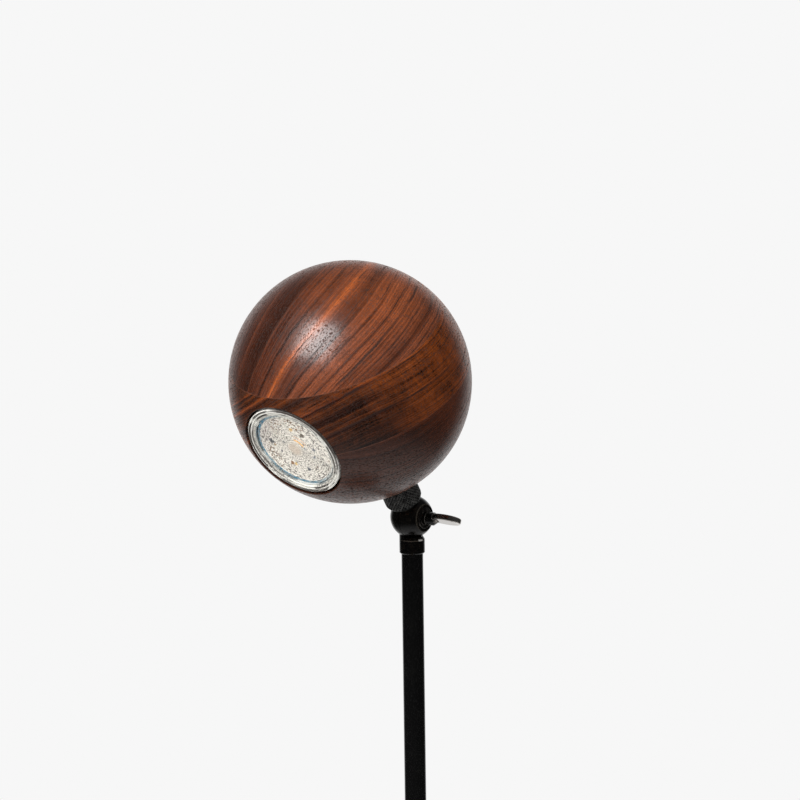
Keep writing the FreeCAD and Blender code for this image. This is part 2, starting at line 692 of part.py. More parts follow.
def lampholder_screws():
    seat = BULB_END - HOLDER_SCREW_HEAD_HEIGHT
    screw = rod(HOLDER_SCREW_RADIUS, HOLDER_END - HOLDER_SCREW_BITE + LOOSE, seat)
    screw = screw.fuse(rod(HOLDER_SCREW_HEAD, seat, BULB_END - FIT))
    return Part.makeCompound([moved(screw, y=side * HOLDER_SCREW_SPREAD) for side in (-1, 1)])


def head_lead():
    """Lead from the nipple up to the side of the lampholder."""
    return in_head(rod(LEAD_RADIUS, UPPER_SHANK, NECK_LENGTH - HOLDER_RADIUS))


# ---------------------------------------------------------------- stem and foot
def stem_tube():
    thread_top = TUBE_TOP + SOCKET_DEPTH
    body = rod(TUBE_RADIUS, TUBE_BOTTOM, TUBE_TOP).fuse(rod(TUBE_THREAD_RADIUS, TUBE_TOP, thread_top))
    return body.cut(rod(TUBE_BORE_RADIUS, TUBE_BOTTOM - PAST, thread_top + PAST))


def foot_ball():
    top = FOOT_HEIGHT + math.sqrt(FOOT_RADIUS ** 2 - (TUBE_RADIUS + LOOSE) ** 2)
    body = sphere(FOOT_RADIUS, FOOT_HEIGHT)
    body = body.common(rod(2 * FOOT_RADIUS, FOOT_HEIGHT - FOOT_RADIUS - PAST, top))
    body = body.cut(rod(TUBE_RADIUS + FIT, TUBE_BOTTOM, top + PAST))
    body = body.cut(rod(TUBE_BORE_RADIUS, FOOT_HEIGHT - FOOT_RADIUS - PAST, TUBE_BOTTOM + PAST))
    return body.cut(set_screw_room())


def set_screw_room():
    """Threaded hole in the back of the foot ball, in to the tube."""
    hole = along_y(rod(SET_SCREW_RADIUS + FIT, 0, FOOT_RADIUS + PAST))
    return moved(hole, z=FOOT_HEIGHT + SET_SCREW_HEIGHT)


def foot_set_screw():
    start = TUBE_RADIUS + FIT
    end = start + SET_SCREW_LENGTH
    body = rod(SET_SCREW_RADIUS, start, end)
    body = body.cut(hexagon(2 * SET_SCREW_SOCKET, end - SET_SCREW_LENGTH / 2, end + PAST))
    return moved(along_y(body), z=FOOT_HEIGHT + SET_SCREW_HEIGHT)


def foot_sleeve():
    """Tube through the foot ball for the lead; its lower end stops the lean."""
    low = FOOT_HEIGHT - SLEEVE_TIP
    return pipe(SLEEVE_RADIUS, SLEEVE_BORE_RADIUS, low, TUBE_BOTTOM + SLEEVE_IN_TUBE)


def stem_lead():
    low = FOOT_HEIGHT - FOOT_RADIUS
    return rod(LEAD_RADIUS, low, SWIVEL_HEIGHT - SWING_RADIUS - LOOSE)


# ---------------------------------------------------------------- magnet
def seat_ring():
    """Slippery ring between the magnet and the ball, which turns with the stem."""
    body = pipe(SEAT_RADIUS, MAGNET_HOLE, SEAT_BOTTOM, SEAT_TOP)
    return body.cut(sphere(FOOT_RADIUS + FIT, FOOT_HEIGHT))


def magnet_ring():
    return pipe(MAGNET_RADIUS - FIT, MAGNET_HOLE, MAGNET_BOTTOM, SEAT_BOTTOM)


def magnet_pot():
    body = rod(POT_RADIUS, POT_BOTTOM, POT_TOP)
    body = body.cut(rod(MAGNET_RADIUS, MAGNET_BOTTOM, POT_TOP + PAST))
    return body.cut(rod(MAGNET_HOLE, POT_BOTTOM - PAST, POT_TOP))


def pot_spacer():
    """Ring between the cover and the pot, with a notch for the lead."""
    outer = MAGNET_HOLE + SPACER_WIDTH
    body = pipe(outer, MAGNET_HOLE, COVER_TOP, POT_BOTTOM)
    half_notch = BASE_LEAD_RADIUS + 2 * LOOSE
    return body.cut(slab(V(-outer - PAST, -half_notch, 0), V(0, half_notch, POT_BOTTOM + PAST)))


# ---------------------------------------------------------------- base
def cover_screw_places(shape):
    """Copies of one shape at the cover's screws."""
    out = COVER_RADIUS - COVER_SCREW_INSET
    step = 360.0 / COVER_SCREW_COUNT
    return ring_of(moved(shape, x=out), COVER_SCREW_COUNT, step / 2)


def cover_screw_shape(play):
    """Countersunk screw, or its hole where there is play."""
    head = COVER_SCREW_HEAD + play
    shank = COVER_SCREW_RADIUS + play
    return lathe([
        (0, BASE_FLOOR),
        (head, BASE_FLOOR),
        (shank, BASE_FLOOR + COVER_SCREW_HEAD - COVER_SCREW_RADIUS),
        (shank, BASE_FLOOR + COVER_SCREW_LENGTH),
        (0, BASE_FLOOR + COVER_SCREW_LENGTH),
    ])


def base_body():
    """Heavy round base with its pockets cut from below."""
    outer = rod(BASE_RADIUS, BASE_FLOOR, BASE_TOP)
    top_edge = [edge for edge in outer.Edges if edge.BoundBox.ZMin > BASE_TOP - FIT]
    body = outer.makeFillet(BASE_ROUND, top_edge)
    bottom_edge = [edge for edge in body.Edges if edge.BoundBox.ZMax < BASE_FLOOR + FIT]
    body = body.makeChamfer(BASE_CHAMFER, bottom_edge)
    below = BASE_FLOOR - PAST
    switch_pocket = rod(SWITCH_BODY_RADIUS + SWITCH_POCKET_ROOM, below, SWITCH_TOP)
    earth_hole = rod(EARTH_SCREW_RADIUS + FIT, POCKET_CEILING, POCKET_CEILING + EARTH_SCREW_LENGTH)
    block_hole = rod(BLOCK_SCREW_RADIUS + FIT, POCKET_CEILING, POCKET_CEILING + BLOCK_HEIGHT / 2)
    gland_hole = along_y(rod(GLAND_RADIUS + FIT, POT_RADIUS, BASE_RADIUS + PAST))
    cuts = [
        rod(COVER_RADIUS + LOOSE, below, COVER_TOP),
        rod(POCKET_RADIUS, below, POCKET_CEILING),
        rod(POT_RADIUS + FIT, below, POT_TOP),
        rod(SEAT_RADIUS + LOOSE, below, BASE_TOP + PAST),
        moved(switch_pocket, y=-SWITCH_OUT),
        switch_lead(BASE_LEAD_RADIUS + FIT),
        moved(rod(BUSH_RADIUS + FIT, below, BASE_TOP + PAST), y=-SWITCH_OUT),
        at_earth_screw(earth_hole),
        moved(block_hole, x=BLOCK_X),
        moved(gland_hole, z=GLAND_HEIGHT),
        *cover_screw_places(cover_screw_shape(FIT)),
    ]
    for cut in cuts:
        body = body.cut(cut)
    return body


def base_cover():
    body = rod(COVER_RADIUS, BASE_FLOOR, COVER_TOP)
    for hole in cover_screw_places(cover_screw_shape(FIT)):
        body = body.cut(hole)
    return body


def cover_screws():
    return Part.makeCompound(cover_screw_places(cover_screw_shape(0)))


def base_pad():
    return rod(BASE_RADIUS - PAD_INSET, 0, BASE_FLOOR)


# ---------------------------------------------------------------- switch
def at_switch(shape):
    return moved(shape, y=-SWITCH_OUT)


def switch_body():
    """Rotary switch under the base's top, with the threaded bush that fixes it."""
    body = rod(SWITCH_BODY_RADIUS, SWITCH_BOTTOM, SWITCH_TOP)
    body = body.fuse(rod(BUSH_RADIUS, SWITCH_TOP, BASE_TOP + BUSH_LENGTH - SWITCH_PLATE))
    return at_switch(body.cut(rod(SHAFT_RADIUS + FIT, SWITCH_TOP - SHAFT_IN_BODY, BASE_TOP + PAST)))


def switch_nut():
    nut = hexagon(SWITCH_NUT_FLATS, BASE_TOP, SWITCH_NUT_TOP)
    return at_switch(nut.cut(rod(BUSH_RADIUS + FIT, BASE_TOP - PAST, SWITCH_NUT_TOP + PAST)))


def switch_shaft():
    return at_switch(rod(SHAFT_RADIUS, SWITCH_TOP - SHAFT_IN_BODY + FIT, SHAFT_TOP))


def switch_knob():
    """Turned knob with a cut mark that shows where it points."""
    body = lathe([
        (0, KNOB_BOTTOM),
        (KNOB_RADIUS - KNOB_CHAMFER / 2, KNOB_BOTTOM),
        (KNOB_RADIUS, KNOB_BOTTOM + KNOB_CHAMFER / 2),
        (KNOB_RADIUS, KNOB_END - KNOB_CHAMFER),
        (KNOB_RADIUS - KNOB_CHAMFER, KNOB_END),
        (0, KNOB_END),
    ])
    body = body.cut(rod(KNOB_RADIUS - KNOB_WALL, KNOB_BOTTOM - PAST, KNOB_CEILING))
    body = body.cut(rod(SHAFT_RADIUS + FIT, KNOB_BOTTOM, SHAFT_TOP))
    half_mark = KNOB_MARK_WIDTH / 2
    mark = slab(V(-half_mark, -KNOB_RADIUS - PAST, KNOB_END - KNOB_MARK_DEPTH),
                V(half_mark, KNOB_MARK_LENGTH - KNOB_RADIUS, KNOB_END + PAST))
    return at_switch(body.cut(mark))


# ---------------------------------------------------------------- cable inlet and wiring
def cable_gland():
    """Bush that a mains cord passes through, at the back of the base."""
    inner_end = POCKET_RADIUS - GLAND_INSIDE
    body = rod(GLAND_RADIUS, inner_end, BASE_RADIUS)
    body = body.fuse(rod(GLAND_FLANGE_RADIUS, BASE_RADIUS, BASE_RADIUS + GLAND_FLANGE))
    body = body.cut(rod(GLAND_BORE_RADIUS, inner_end - PAST, BASE_RADIUS + GLAND_FLANGE + PAST))
    return moved(along_y(body), z=GLAND_HEIGHT)


def gland_nut():
    """Nut inside the pocket, with its corners against the round wall."""
    corner = GLAND_NUT_FLATS / math.sqrt(3)
    seat = math.sqrt(POCKET_RADIUS ** 2 - corner ** 2)
    nut = hexagon(GLAND_NUT_FLATS, seat - GLAND_NUT_THICKNESS, seat)
    nut = nut.cut(rod(GLAND_RADIUS + FIT, 0, POCKET_RADIUS + PAST))
    nut = along_y(nut)
    return moved(nut, z=GLAND_HEIGHT)


def terminal_block():
    """Moulded block that joins the cord's wires to the lamp's leads."""
    half_width = BLOCK_WIDTH / 2
    half_length = BLOCK_LENGTH / 2
    body = slab(V(-half_width, -half_length, BLOCK_BOTTOM), V(half_width, half_length, POCKET_CEILING))
    body = body.cut(rod(BLOCK_SCREW_RADIUS + FIT, BLOCK_BOTTOM - PAST, POCKET_CEILING + PAST))
    return moved(body, x=BLOCK_X)


def block_screw():
    low = BLOCK_BOTTOM
    screw = rod(BLOCK_SCREW_RADIUS, low, POCKET_CEILING + BLOCK_HEIGHT / 2)
    return moved(screw, x=BLOCK_X)


def at_earth_screw(shape):
    placed = moved(shape, x=EARTH_SCREW_OUT)
    placed.rotate(ORIGIN, AXIS_Z, 45)
    return placed


def earth_screw():
    head_low = POCKET_CEILING - EARTH_SCREW_HEAD_HEIGHT
    screw = rod(EARTH_SCREW_HEAD, head_low, POCKET_CEILING)
    screw = screw.fuse(rod(EARTH_SCREW_RADIUS, head_low, POCKET_CEILING + EARTH_SCREW_LENGTH - LOOSE))
    return at_earth_screw(screw)


def switch_lead(radius):
    """The way from the terminal block round the magnet pot into the switch."""
    block_front = -BLOCK_LENGTH / 2
    high = POCKET_CEILING - BASE_LEAD_RADIUS - LOOSE
    bend = 3 * BASE_LEAD_RADIUS
    out = POCKET_RADIUS - 4 * BASE_LEAD_RADIUS
    angle = math.radians(BASE_LEAD_ANGLE)
    switch_points = [
        V(BLOCK_X, block_front, high),
        V(BLOCK_X, block_front - bend, high),
        V(out * math.cos(angle), out * math.sin(angle), high),
        V(-SWITCH_BODY_RADIUS / 2, SWITCH_BODY_RADIUS / 2 - SWITCH_OUT, high),
    ]
    return wire_tube(radius, switch_points, bend)


def base_leads():
    """One lead from the terminal block to the switch and one to the foot of the stem."""
    to_switch = switch_lead(BASE_LEAD_RADIUS).cut(switch_body())
    low = COVER_TOP + BASE_LEAD_RADIUS + LOOSE / 2
    lead_end = FOOT_HEIGHT - SLEEVE_TIP - 2 * LOOSE
    stem_points = [
        V(BLOCK_X + BLOCK_WIDTH / 2, 0, low),
        V(0, 0, low),
        V(0, 0, lead_end),
    ]
    to_stem = wire_tube(BASE_LEAD_RADIUS, stem_points, lead_end - low - LOOSE)
    return Part.makeCompound([to_switch, to_stem])


# ---------------------------------------------------------------- write every piece
def in_bulb_place(shape):
    return in_head(facing_front(shape))


def build():
    pieces = ball_boards()
    pieces["neck_insert"] = neck_insert()
    pieces["threaded_nipple"] = threaded_nipple()
    pieces["knurled_ring"] = knurled_ring()
    pieces["swivel_upper_half"] = swivel_upper_half()
    pieces["swivel_lower_half"] = swivel_lower_half()
    pieces["friction_washer"] = friction_washer()
    pieces["key_washer"] = key_washer()
    pieces["thumb_key"] = thumb_key()
    pieces["lampholder"] = in_bulb_place(lampholder())
    pieces["lampholder_contacts"] = in_bulb_place(lampholder_contacts())
    pieces["lampholder_screws"] = in_bulb_place(lampholder_screws())
    pieces["head_lead"] = head_lead()
    pieces["bulb_glass"] = in_bulb_place(bulb_glass())
    pieces["bulb_rim"] = in_bulb_place(bulb_rim())
    pieces["bulb_lens"] = in_bulb_place(bulb_lens())
    pieces["bulb_led_board"] = in_bulb_place(bulb_led_board())
    pieces["bulb_led_chips"] = in_bulb_place(bulb_led_chips())
    pieces["bulb_heat_sink"] = in_bulb_place(bulb_heat_sink())
    pieces["bulb_base"] = in_bulb_place(bulb_base())
    pieces["bulb_driver"] = in_bulb_place(bulb_driver())
    pieces["bulb_pins"] = in_bulb_place(bulb_pins())
    pieces["stem_tube"] = stem_tube()
    pieces["stem_lead"] = stem_lead()
    pieces["foot_ball"] = foot_ball()
    pieces["foot_sleeve"] = foot_sleeve()
    pieces["foot_set_screw"] = foot_set_screw()
    pieces["seat_ring"] = seat_ring()
    pieces["magnet_ring"] = magnet_ring()
    pieces["magnet_pot"] = magnet_pot()
    pieces["pot_spacer"] = pot_spacer()
    pieces["base_body"] = base_body()
    pieces["base_cover"] = base_cover()
    pieces["cover_screws"] = cover_screws()
    pieces["base_pad"] = base_pad()
    pieces["switch_body"] = switch_body()
    pieces["switch_nut"] = switch_nut()
    pieces["switch_shaft"] = switch_shaft()
    pieces["switch_knob"] = switch_knob()
    pieces["cable_gland"] = cable_gland()
    pieces["gland_nut"] = gland_nut()
    pieces["terminal_block"] = terminal_block()
    pieces["block_screw"] = block_screw()
    pieces["earth_screw"] = earth_screw()
    pieces["base_leads"] = base_leads()
    return pieces


os.makedirs("parts", exist_ok=True)
for name, shape in build().items():
    shape.exportStep("parts/" + name + ".step")
    print(name, len(shape.Solids), "solids", round(shape.Volume / 1000, 2), "cm3", shape.isValid())
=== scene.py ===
# %% [markdown]
# # A magnetic balance lamp, dressed for its picture
# The lamp's solids arrive packed, with a body and a joint for everything that moves. This script
# gives them their finish. Pieces whose look depends on fine form are modelled again here: the three
# wooden boards, the knurled ring and knob, the cup washer, and the front of the bulb. The others
# keep their solid and get a material. Every length below is in millimetres until a mesh is placed,
# because that is how a maker would read it off a drawing. Only the soft boxes and the floor are
# given in metres.

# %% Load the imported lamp
import json
import math

import bmesh
import bpy
from mathutils import Matrix, Vector


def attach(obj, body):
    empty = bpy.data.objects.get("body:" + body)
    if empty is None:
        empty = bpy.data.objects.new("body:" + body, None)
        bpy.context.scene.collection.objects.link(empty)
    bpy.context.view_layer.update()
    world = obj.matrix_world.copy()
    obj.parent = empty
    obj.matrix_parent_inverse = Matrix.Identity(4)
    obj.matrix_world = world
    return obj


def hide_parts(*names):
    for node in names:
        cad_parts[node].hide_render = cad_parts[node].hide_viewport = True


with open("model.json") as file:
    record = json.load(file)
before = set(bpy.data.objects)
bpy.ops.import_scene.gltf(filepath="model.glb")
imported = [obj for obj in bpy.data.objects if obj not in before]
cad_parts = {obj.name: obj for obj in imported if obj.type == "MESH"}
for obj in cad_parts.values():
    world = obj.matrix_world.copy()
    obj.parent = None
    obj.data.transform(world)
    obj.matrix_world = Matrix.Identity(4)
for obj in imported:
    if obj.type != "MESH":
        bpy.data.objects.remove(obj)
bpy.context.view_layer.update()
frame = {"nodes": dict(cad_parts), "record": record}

# %% [markdown]
# ## The lamp's own frames
# The head leans forward on its swivel, so its pieces are easiest to draw upright and turn
# afterwards. One matrix takes the neck's frame to its place, and a second one goes on to the bulb's
# frame, in which the light shines along +Z and the wooden ball's middle is the origin.

# %% Sizes and frames
MM = 0.001
SWIVEL_HEIGHT = 340.0
HEAD_TILT = 33.0
NECK_LENGTH = 84.6
BALL_RADIUS = 57.48         # a hair less than the solid's, so that nothing stands out of it
NECK_SEAT = 27.9            # where the knurled ring meets the ball's flat
BALL_HOLE_RADIUS = 26.0
UPPER_GLUE_LINE = 24.7
LOWER_GLUE_LINE = -4.7
GLUE_PITCH = -6.2

metres = Matrix.Scale(MM, 4)


def moved(*offset):
    return Matrix.Translation(offset)


def leaned(degrees, axis="X"):
    return Matrix.Rotation(math.radians(degrees), 4, axis)


upright = Matrix()
neck_frame = moved(0, 0, SWIVEL_HEIGHT) @ leaned(HEAD_TILT)
bulb_frame = neck_frame @ moved(0, 0, NECK_LENGTH) @ leaned(90)
glue_frame = neck_frame @ moved(0, 0, NECK_LENGTH) @ leaned(GLUE_PITCH)
ball_middle = bulb_frame.to_translation()
glue_normal = glue_frame.to_3x3() @ Vector((0, 0, 1))
print("ball's middle in mm:", [round(value, 2) for value in ball_middle])

# %% [markdown]
# ## Turning and finishing meshes
# Nearly everything on a lamp like this comes off a lathe, so the main tool is an outline of
# radius and height that is spun about Z. A spin leaves double points on the axis and may turn the
# faces inside out, so the doubles are merged first and the normals worked out again after that.

# %% Mesh helpers
SAME_POINT = 0.0005         # points closer than this are one


def turned(outline, steps, closed=True):
    """A lathe shape: (radius, height) points spun once round Z."""
    mesh = bmesh.new()
    points = [mesh.verts.new((radius, 0, height)) for radius, height in outline]
    for start, end in zip(points, points[1:]):
        mesh.edges.new((start, end))
    if closed:
        mesh.edges.new((points[-1], points[0]))
    bmesh.ops.spin(mesh, geom=mesh.verts[:] + mesh.edges[:], cent=(0, 0, 0), axis=(0, 0, 1),
                   angle=2 * math.pi, steps=steps, use_merge=True)
    bmesh.ops.remove_doubles(mesh, verts=mesh.verts[:], dist=SAME_POINT)
    bmesh.ops.recalc_face_normals(mesh, faces=mesh.faces[:])
    return mesh


def arc(middle, radius, start, end, count):
    """Outline points on an arc, angles in degrees from straight up."""
    points = []
    for index in range(count + 1):
        angle = math.radians(start + (end - start) * index / count)
        points.append((middle[0] + radius * math.sin(angle), middle[1] + radius * math.cos(angle)))
    return points


def made_piece(mesh, name, body, replaced, material, placing, crease=30.0):
    """Put a mesh in its place as a smooth piece that stands for a node of the solid. Edges that
    bend by more than crease degrees stay sharp."""
    mesh.transform(metres @ placing)
    data = bpy.data.meshes.new(name)
    mesh.to_mesh(data)
    mesh.free()
    data.shade_smooth()
    data.set_sharp_from_angle(angle=math.radians(crease))
    piece = bpy.data.objects.new(name, data)
    bpy.context.scene.collection.objects.link(piece)
    data.materials.append(material)
    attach(piece, body)
    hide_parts(replaced)
    print(name, len(data.polygons), "faces")
    return piece


# %% [markdown]
# ## Writing materials as sums
# A material is a net of nodes, but a formula is easier to read. `Wire` holds one socket and turns
# + - * / into Math nodes, `Net` makes the nodes, and `Finish` is the net of one material. Each
# pattern reads the piece's own coordinates in millimetres, so grain and knurl keep their real
# scale.

# %% Shader maths
class Wire:
    """One value on its way through a net's nodes."""

    def __init__(self, net, socket):
        self.net = net
        self.socket = socket

    def maths(self, operation, *others):
        return self.net.node("ShaderNodeMath", {"operation": operation},
                             dict(enumerate((self, *others))))

    def reflected(self, operation, other):
        return self.net.node("ShaderNodeMath", {"operation": operation}, {0: other, 1: self})

    def __add__(self, other):
        return self.maths("ADD", other)

    def __sub__(self, other):
        return self.maths("SUBTRACT", other)

    def __mul__(self, other):
        return self.maths("MULTIPLY", other)

    def __truediv__(self, other):
        return self.maths("DIVIDE", other)

    def __radd__(self, other):
        return self.reflected("ADD", other)

    def __rsub__(self, other):
        return self.reflected("SUBTRACT", other)

    def __rmul__(self, other):
        return self.reflected("MULTIPLY", other)

    def __abs__(self):
        return self.maths("ABSOLUTE")


def tone(red, green, blue):
    """A colour as it looks on a screen, 0 to 255, made linear for the shader."""
    channels = []
    for value in (red, green, blue):
        share = value / 255
        channels.append(share / 12.92 if share <= 0.04045 else ((share + 0.055) / 1.055) ** 2.4)
    return (*channels, 1.0)


class Net:
    """A node tree and the few kinds of node that this picture needs."""

    def __init__(self, tree):
        self.tree = tree

    def node(self, kind, settings=None, inputs=None, output=0):
        made = self.tree.nodes.new(kind)
        for name, value in (settings or {}).items():
            if name == "stops":
                self.fill_ramp(made.color_ramp, value)
            else:
                setattr(made, name, value)
        for name, value in (inputs or {}).items():
            self.feed(made.inputs[name], value)
        return Wire(self, made.outputs[output])

    def feed(self, socket, value):
        if isinstance(value, Wire):
            self.tree.links.new(value.socket, socket)
        else:
            socket.default_value = value

    def fill_ramp(self, ramp, stops):
        while len(ramp.elements) < len(stops):
            ramp.elements.new(1.0)
        for element, (position, colour) in zip(ramp.elements, stops):
            element.position = position
            element.color = colour

    def place(self, middle=(0, 0, 0)):
        """Millimetres from a point of the lamp."""
        coordinates = self.node("ShaderNodeTexCoord", output="Object")
        shifted = self.node("ShaderNodeVectorMath", {"operation": "SUBTRACT"},
                            {0: coordinates, 1: Vector(middle) * MM})
        return self.scaled(shifted, 1 / MM)

    def scaled(self, vector, factor):
        return self.node("ShaderNodeVectorMath", {"operation": "SCALE"},
                         {0: vector, "Scale": factor})

    def along(self, vector, direction):
        return self.node("ShaderNodeVectorMath", {"operation": "DOT_PRODUCT"},
                         {0: vector, 1: tuple(direction)}, output="Value")

    def distance(self, vector, point=(0, 0, 0)):
        return self.node("ShaderNodeVectorMath", {"operation": "DISTANCE"},
                         {0: vector, 1: tuple(point)}, output="Value")

    def round_axis(self, place, axis):
        """Distance from an axis through the point that place is measured from."""
        out = self.node("ShaderNodeVectorMath", {"operation": "CROSS_PRODUCT"},
                        {0: place, 1: tuple(axis)})
        return self.distance(out)

    def vector(self, x, y, z):
        return self.node("ShaderNodeCombineXYZ", {}, {"X": x, "Y": y, "Z": z})

    def noise(self, vector, detail=2.0, roughness=0.5):
        return self.node("ShaderNodeTexNoise", {}, {"Vector": vector, "Scale": 1.0,
                                                    "Detail": detail, "Roughness": roughness})

    def ramp(self, value, stops):
        """Colours from (value, colour) stops."""
        low = stops[0][0]
        reach = stops[-1][0] - low
        shares = [((edge - low) / reach, colour) for edge, colour in stops]
        return self.node("ShaderNodeValToRGB", {"stops": shares}, {"Fac": (value - low) / reach})

    def step(self, value, low, high):
        """0 below low, 1 above high and smooth between."""
        return self.node("ShaderNodeMapRange", {"interpolation_type": "SMOOTHSTEP"},
                         {"Value": value, "From Min": low, "From Max": high})

    def near(self, value, goal, inner, outer):
        """1 where value is within inner of the goal, 0 beyond outer."""
        return 1 - self.step(abs(value - goal), inner, outer)

    def blend(self, share, first, second, how="MIX"):
        return self.node("ShaderNodeMix", {"data_type": "RGBA", "blend_type": how},
                         {0: share, 6: first, 7: second}, output=2)


class Finish(Net):
    """The net of one material."""

    def __init__(self, name, metallic=0.0):
        self.material = bpy.data.materials.new(name)
        self.material.use_nodes = True
        super().__init__(self.material.node_tree)
        self.surface = self.tree.nodes["Principled BSDF"]
        self.surface.inputs["Metallic"].default_value = metallic

    def set(self, **inputs):
        for name, value in inputs.items():
            self.feed(self.surface.inputs[name.replace("_", " ").title()], value)

    def bump(self, height, distance, edge=0.0):
        """Raised detail, distance in mm for a height of one; edge is how far edges look rounded."""
        inputs = {"Height": height, "Distance": distance * MM}
        if edge:
            inputs["Normal"] = self.node("ShaderNodeBevel", {"samples": 8}, {"Radius": edge * MM})
        self.set(normal=self.node("ShaderNodeBump", {}, inputs))


# %% [markdown]
# ## Three boards of walnut
# The ball is turned from three boards glued face to face, so each board shows its own grain and
# the grain jumps at the glue lines. A board's dark and light streaks are slices through the tree's
# growth rings, which are curved sheets that all hold the fibre's direction. The material is built
# the same way: a ring number is worked out for every point in the board from how far it lies
# across the sheets, and the streaks, pores and flecks are laid out along the fibre. The pattern is
# solid, so it runs over the edges and round the bulb's hole as it does in turned wood.

# %% Ball turned whole, with the room for the bulb
HOLDER_ROOM_RADIUS = 17
HOLDER_ROOM_END = -16
HOLDER_ROOM_FRONT = 14      # where the room starts to widen
BULB_ROOM_START = 44        # where it is as wide as the mouth
LIP = 0.25                  # chamfer of the mouth's edge, down the hole
LIP_ANGLE = 0.3             # and in degrees round the ball


def turned_ball():
    mouth_edge = math.degrees(math.asin(BALL_HOLE_RADIUS / BALL_RADIUS))
    mouth_height = BALL_RADIUS * math.cos(math.radians(mouth_edge))
    outside = arc((0, 0), BALL_RADIUS, mouth_edge + LIP_ANGLE, 180, count=110)
    inside = [(0, HOLDER_ROOM_END), (HOLDER_ROOM_RADIUS, HOLDER_ROOM_END),
              (HOLDER_ROOM_RADIUS, HOLDER_ROOM_FRONT), (BALL_HOLE_RADIUS, BULB_ROOM_START),
              (BALL_HOLE_RADIUS, mouth_height - LIP)]
    return turned(inside + outside, steps=256, closed=False)


def cut_flat(mesh, matrix, height, keep_above):
    """Keep one side of a level plane of a frame and close the cut."""
    normal = (matrix.to_3x3() @ Vector((0, 0, 1))).normalized()
    point = matrix @ Vector((0, 0, height))
    cut = bmesh.ops.bisect_plane(mesh, geom=mesh.verts[:] + mesh.edges[:] + mesh.faces[:],
                                 dist=0.0001, plane_co=point, plane_no=normal,
                                 clear_inner=keep_above, clear_outer=not keep_above)
    rim = [item for item in cut["geom_cut"] if isinstance(item, bmesh.types.BMEdge)]
    bmesh.ops.triangle_fill(mesh, edges=rim, use_beauty=True,
                            normal=-normal if keep_above else normal)


def ball_board(low, high):
    mesh = turned_ball()
    mesh.transform(bulb_frame)
    if low is not None:
        cut_flat(mesh, glue_frame, low, True)
    if high is not None:
        cut_flat(mesh, glue_frame, high, False)
    if low is None:
        cut_flat(mesh, neck_frame, NECK_SEAT, True)
    bmesh.ops.recalc_face_normals(mesh, faces=mesh.faces[:])
    return mesh


# %% Walnut, as a solid pattern
OIL_GLOSS = 0.27
OIL_SHINE = 0.003           # what the oil adds to a tone by reflecting the room
YEAR_WIDTH = 4.0            # mm of wood grown in a year
PORE_BROWN = tone(34, 17, 11)
GLUE_BROWN = tone(118, 74, 56)
SHEEN_TINT = (1.0, 0.42, 0.25, 1.0)


def oiled(red, green, blue):
    """A wood tone as it looks under its oil: what the surface reflects is taken off."""
    return tuple(max(channel - OIL_SHINE, 0.002) for channel in tone(red, green, blue)[:3]) + (1.0,)


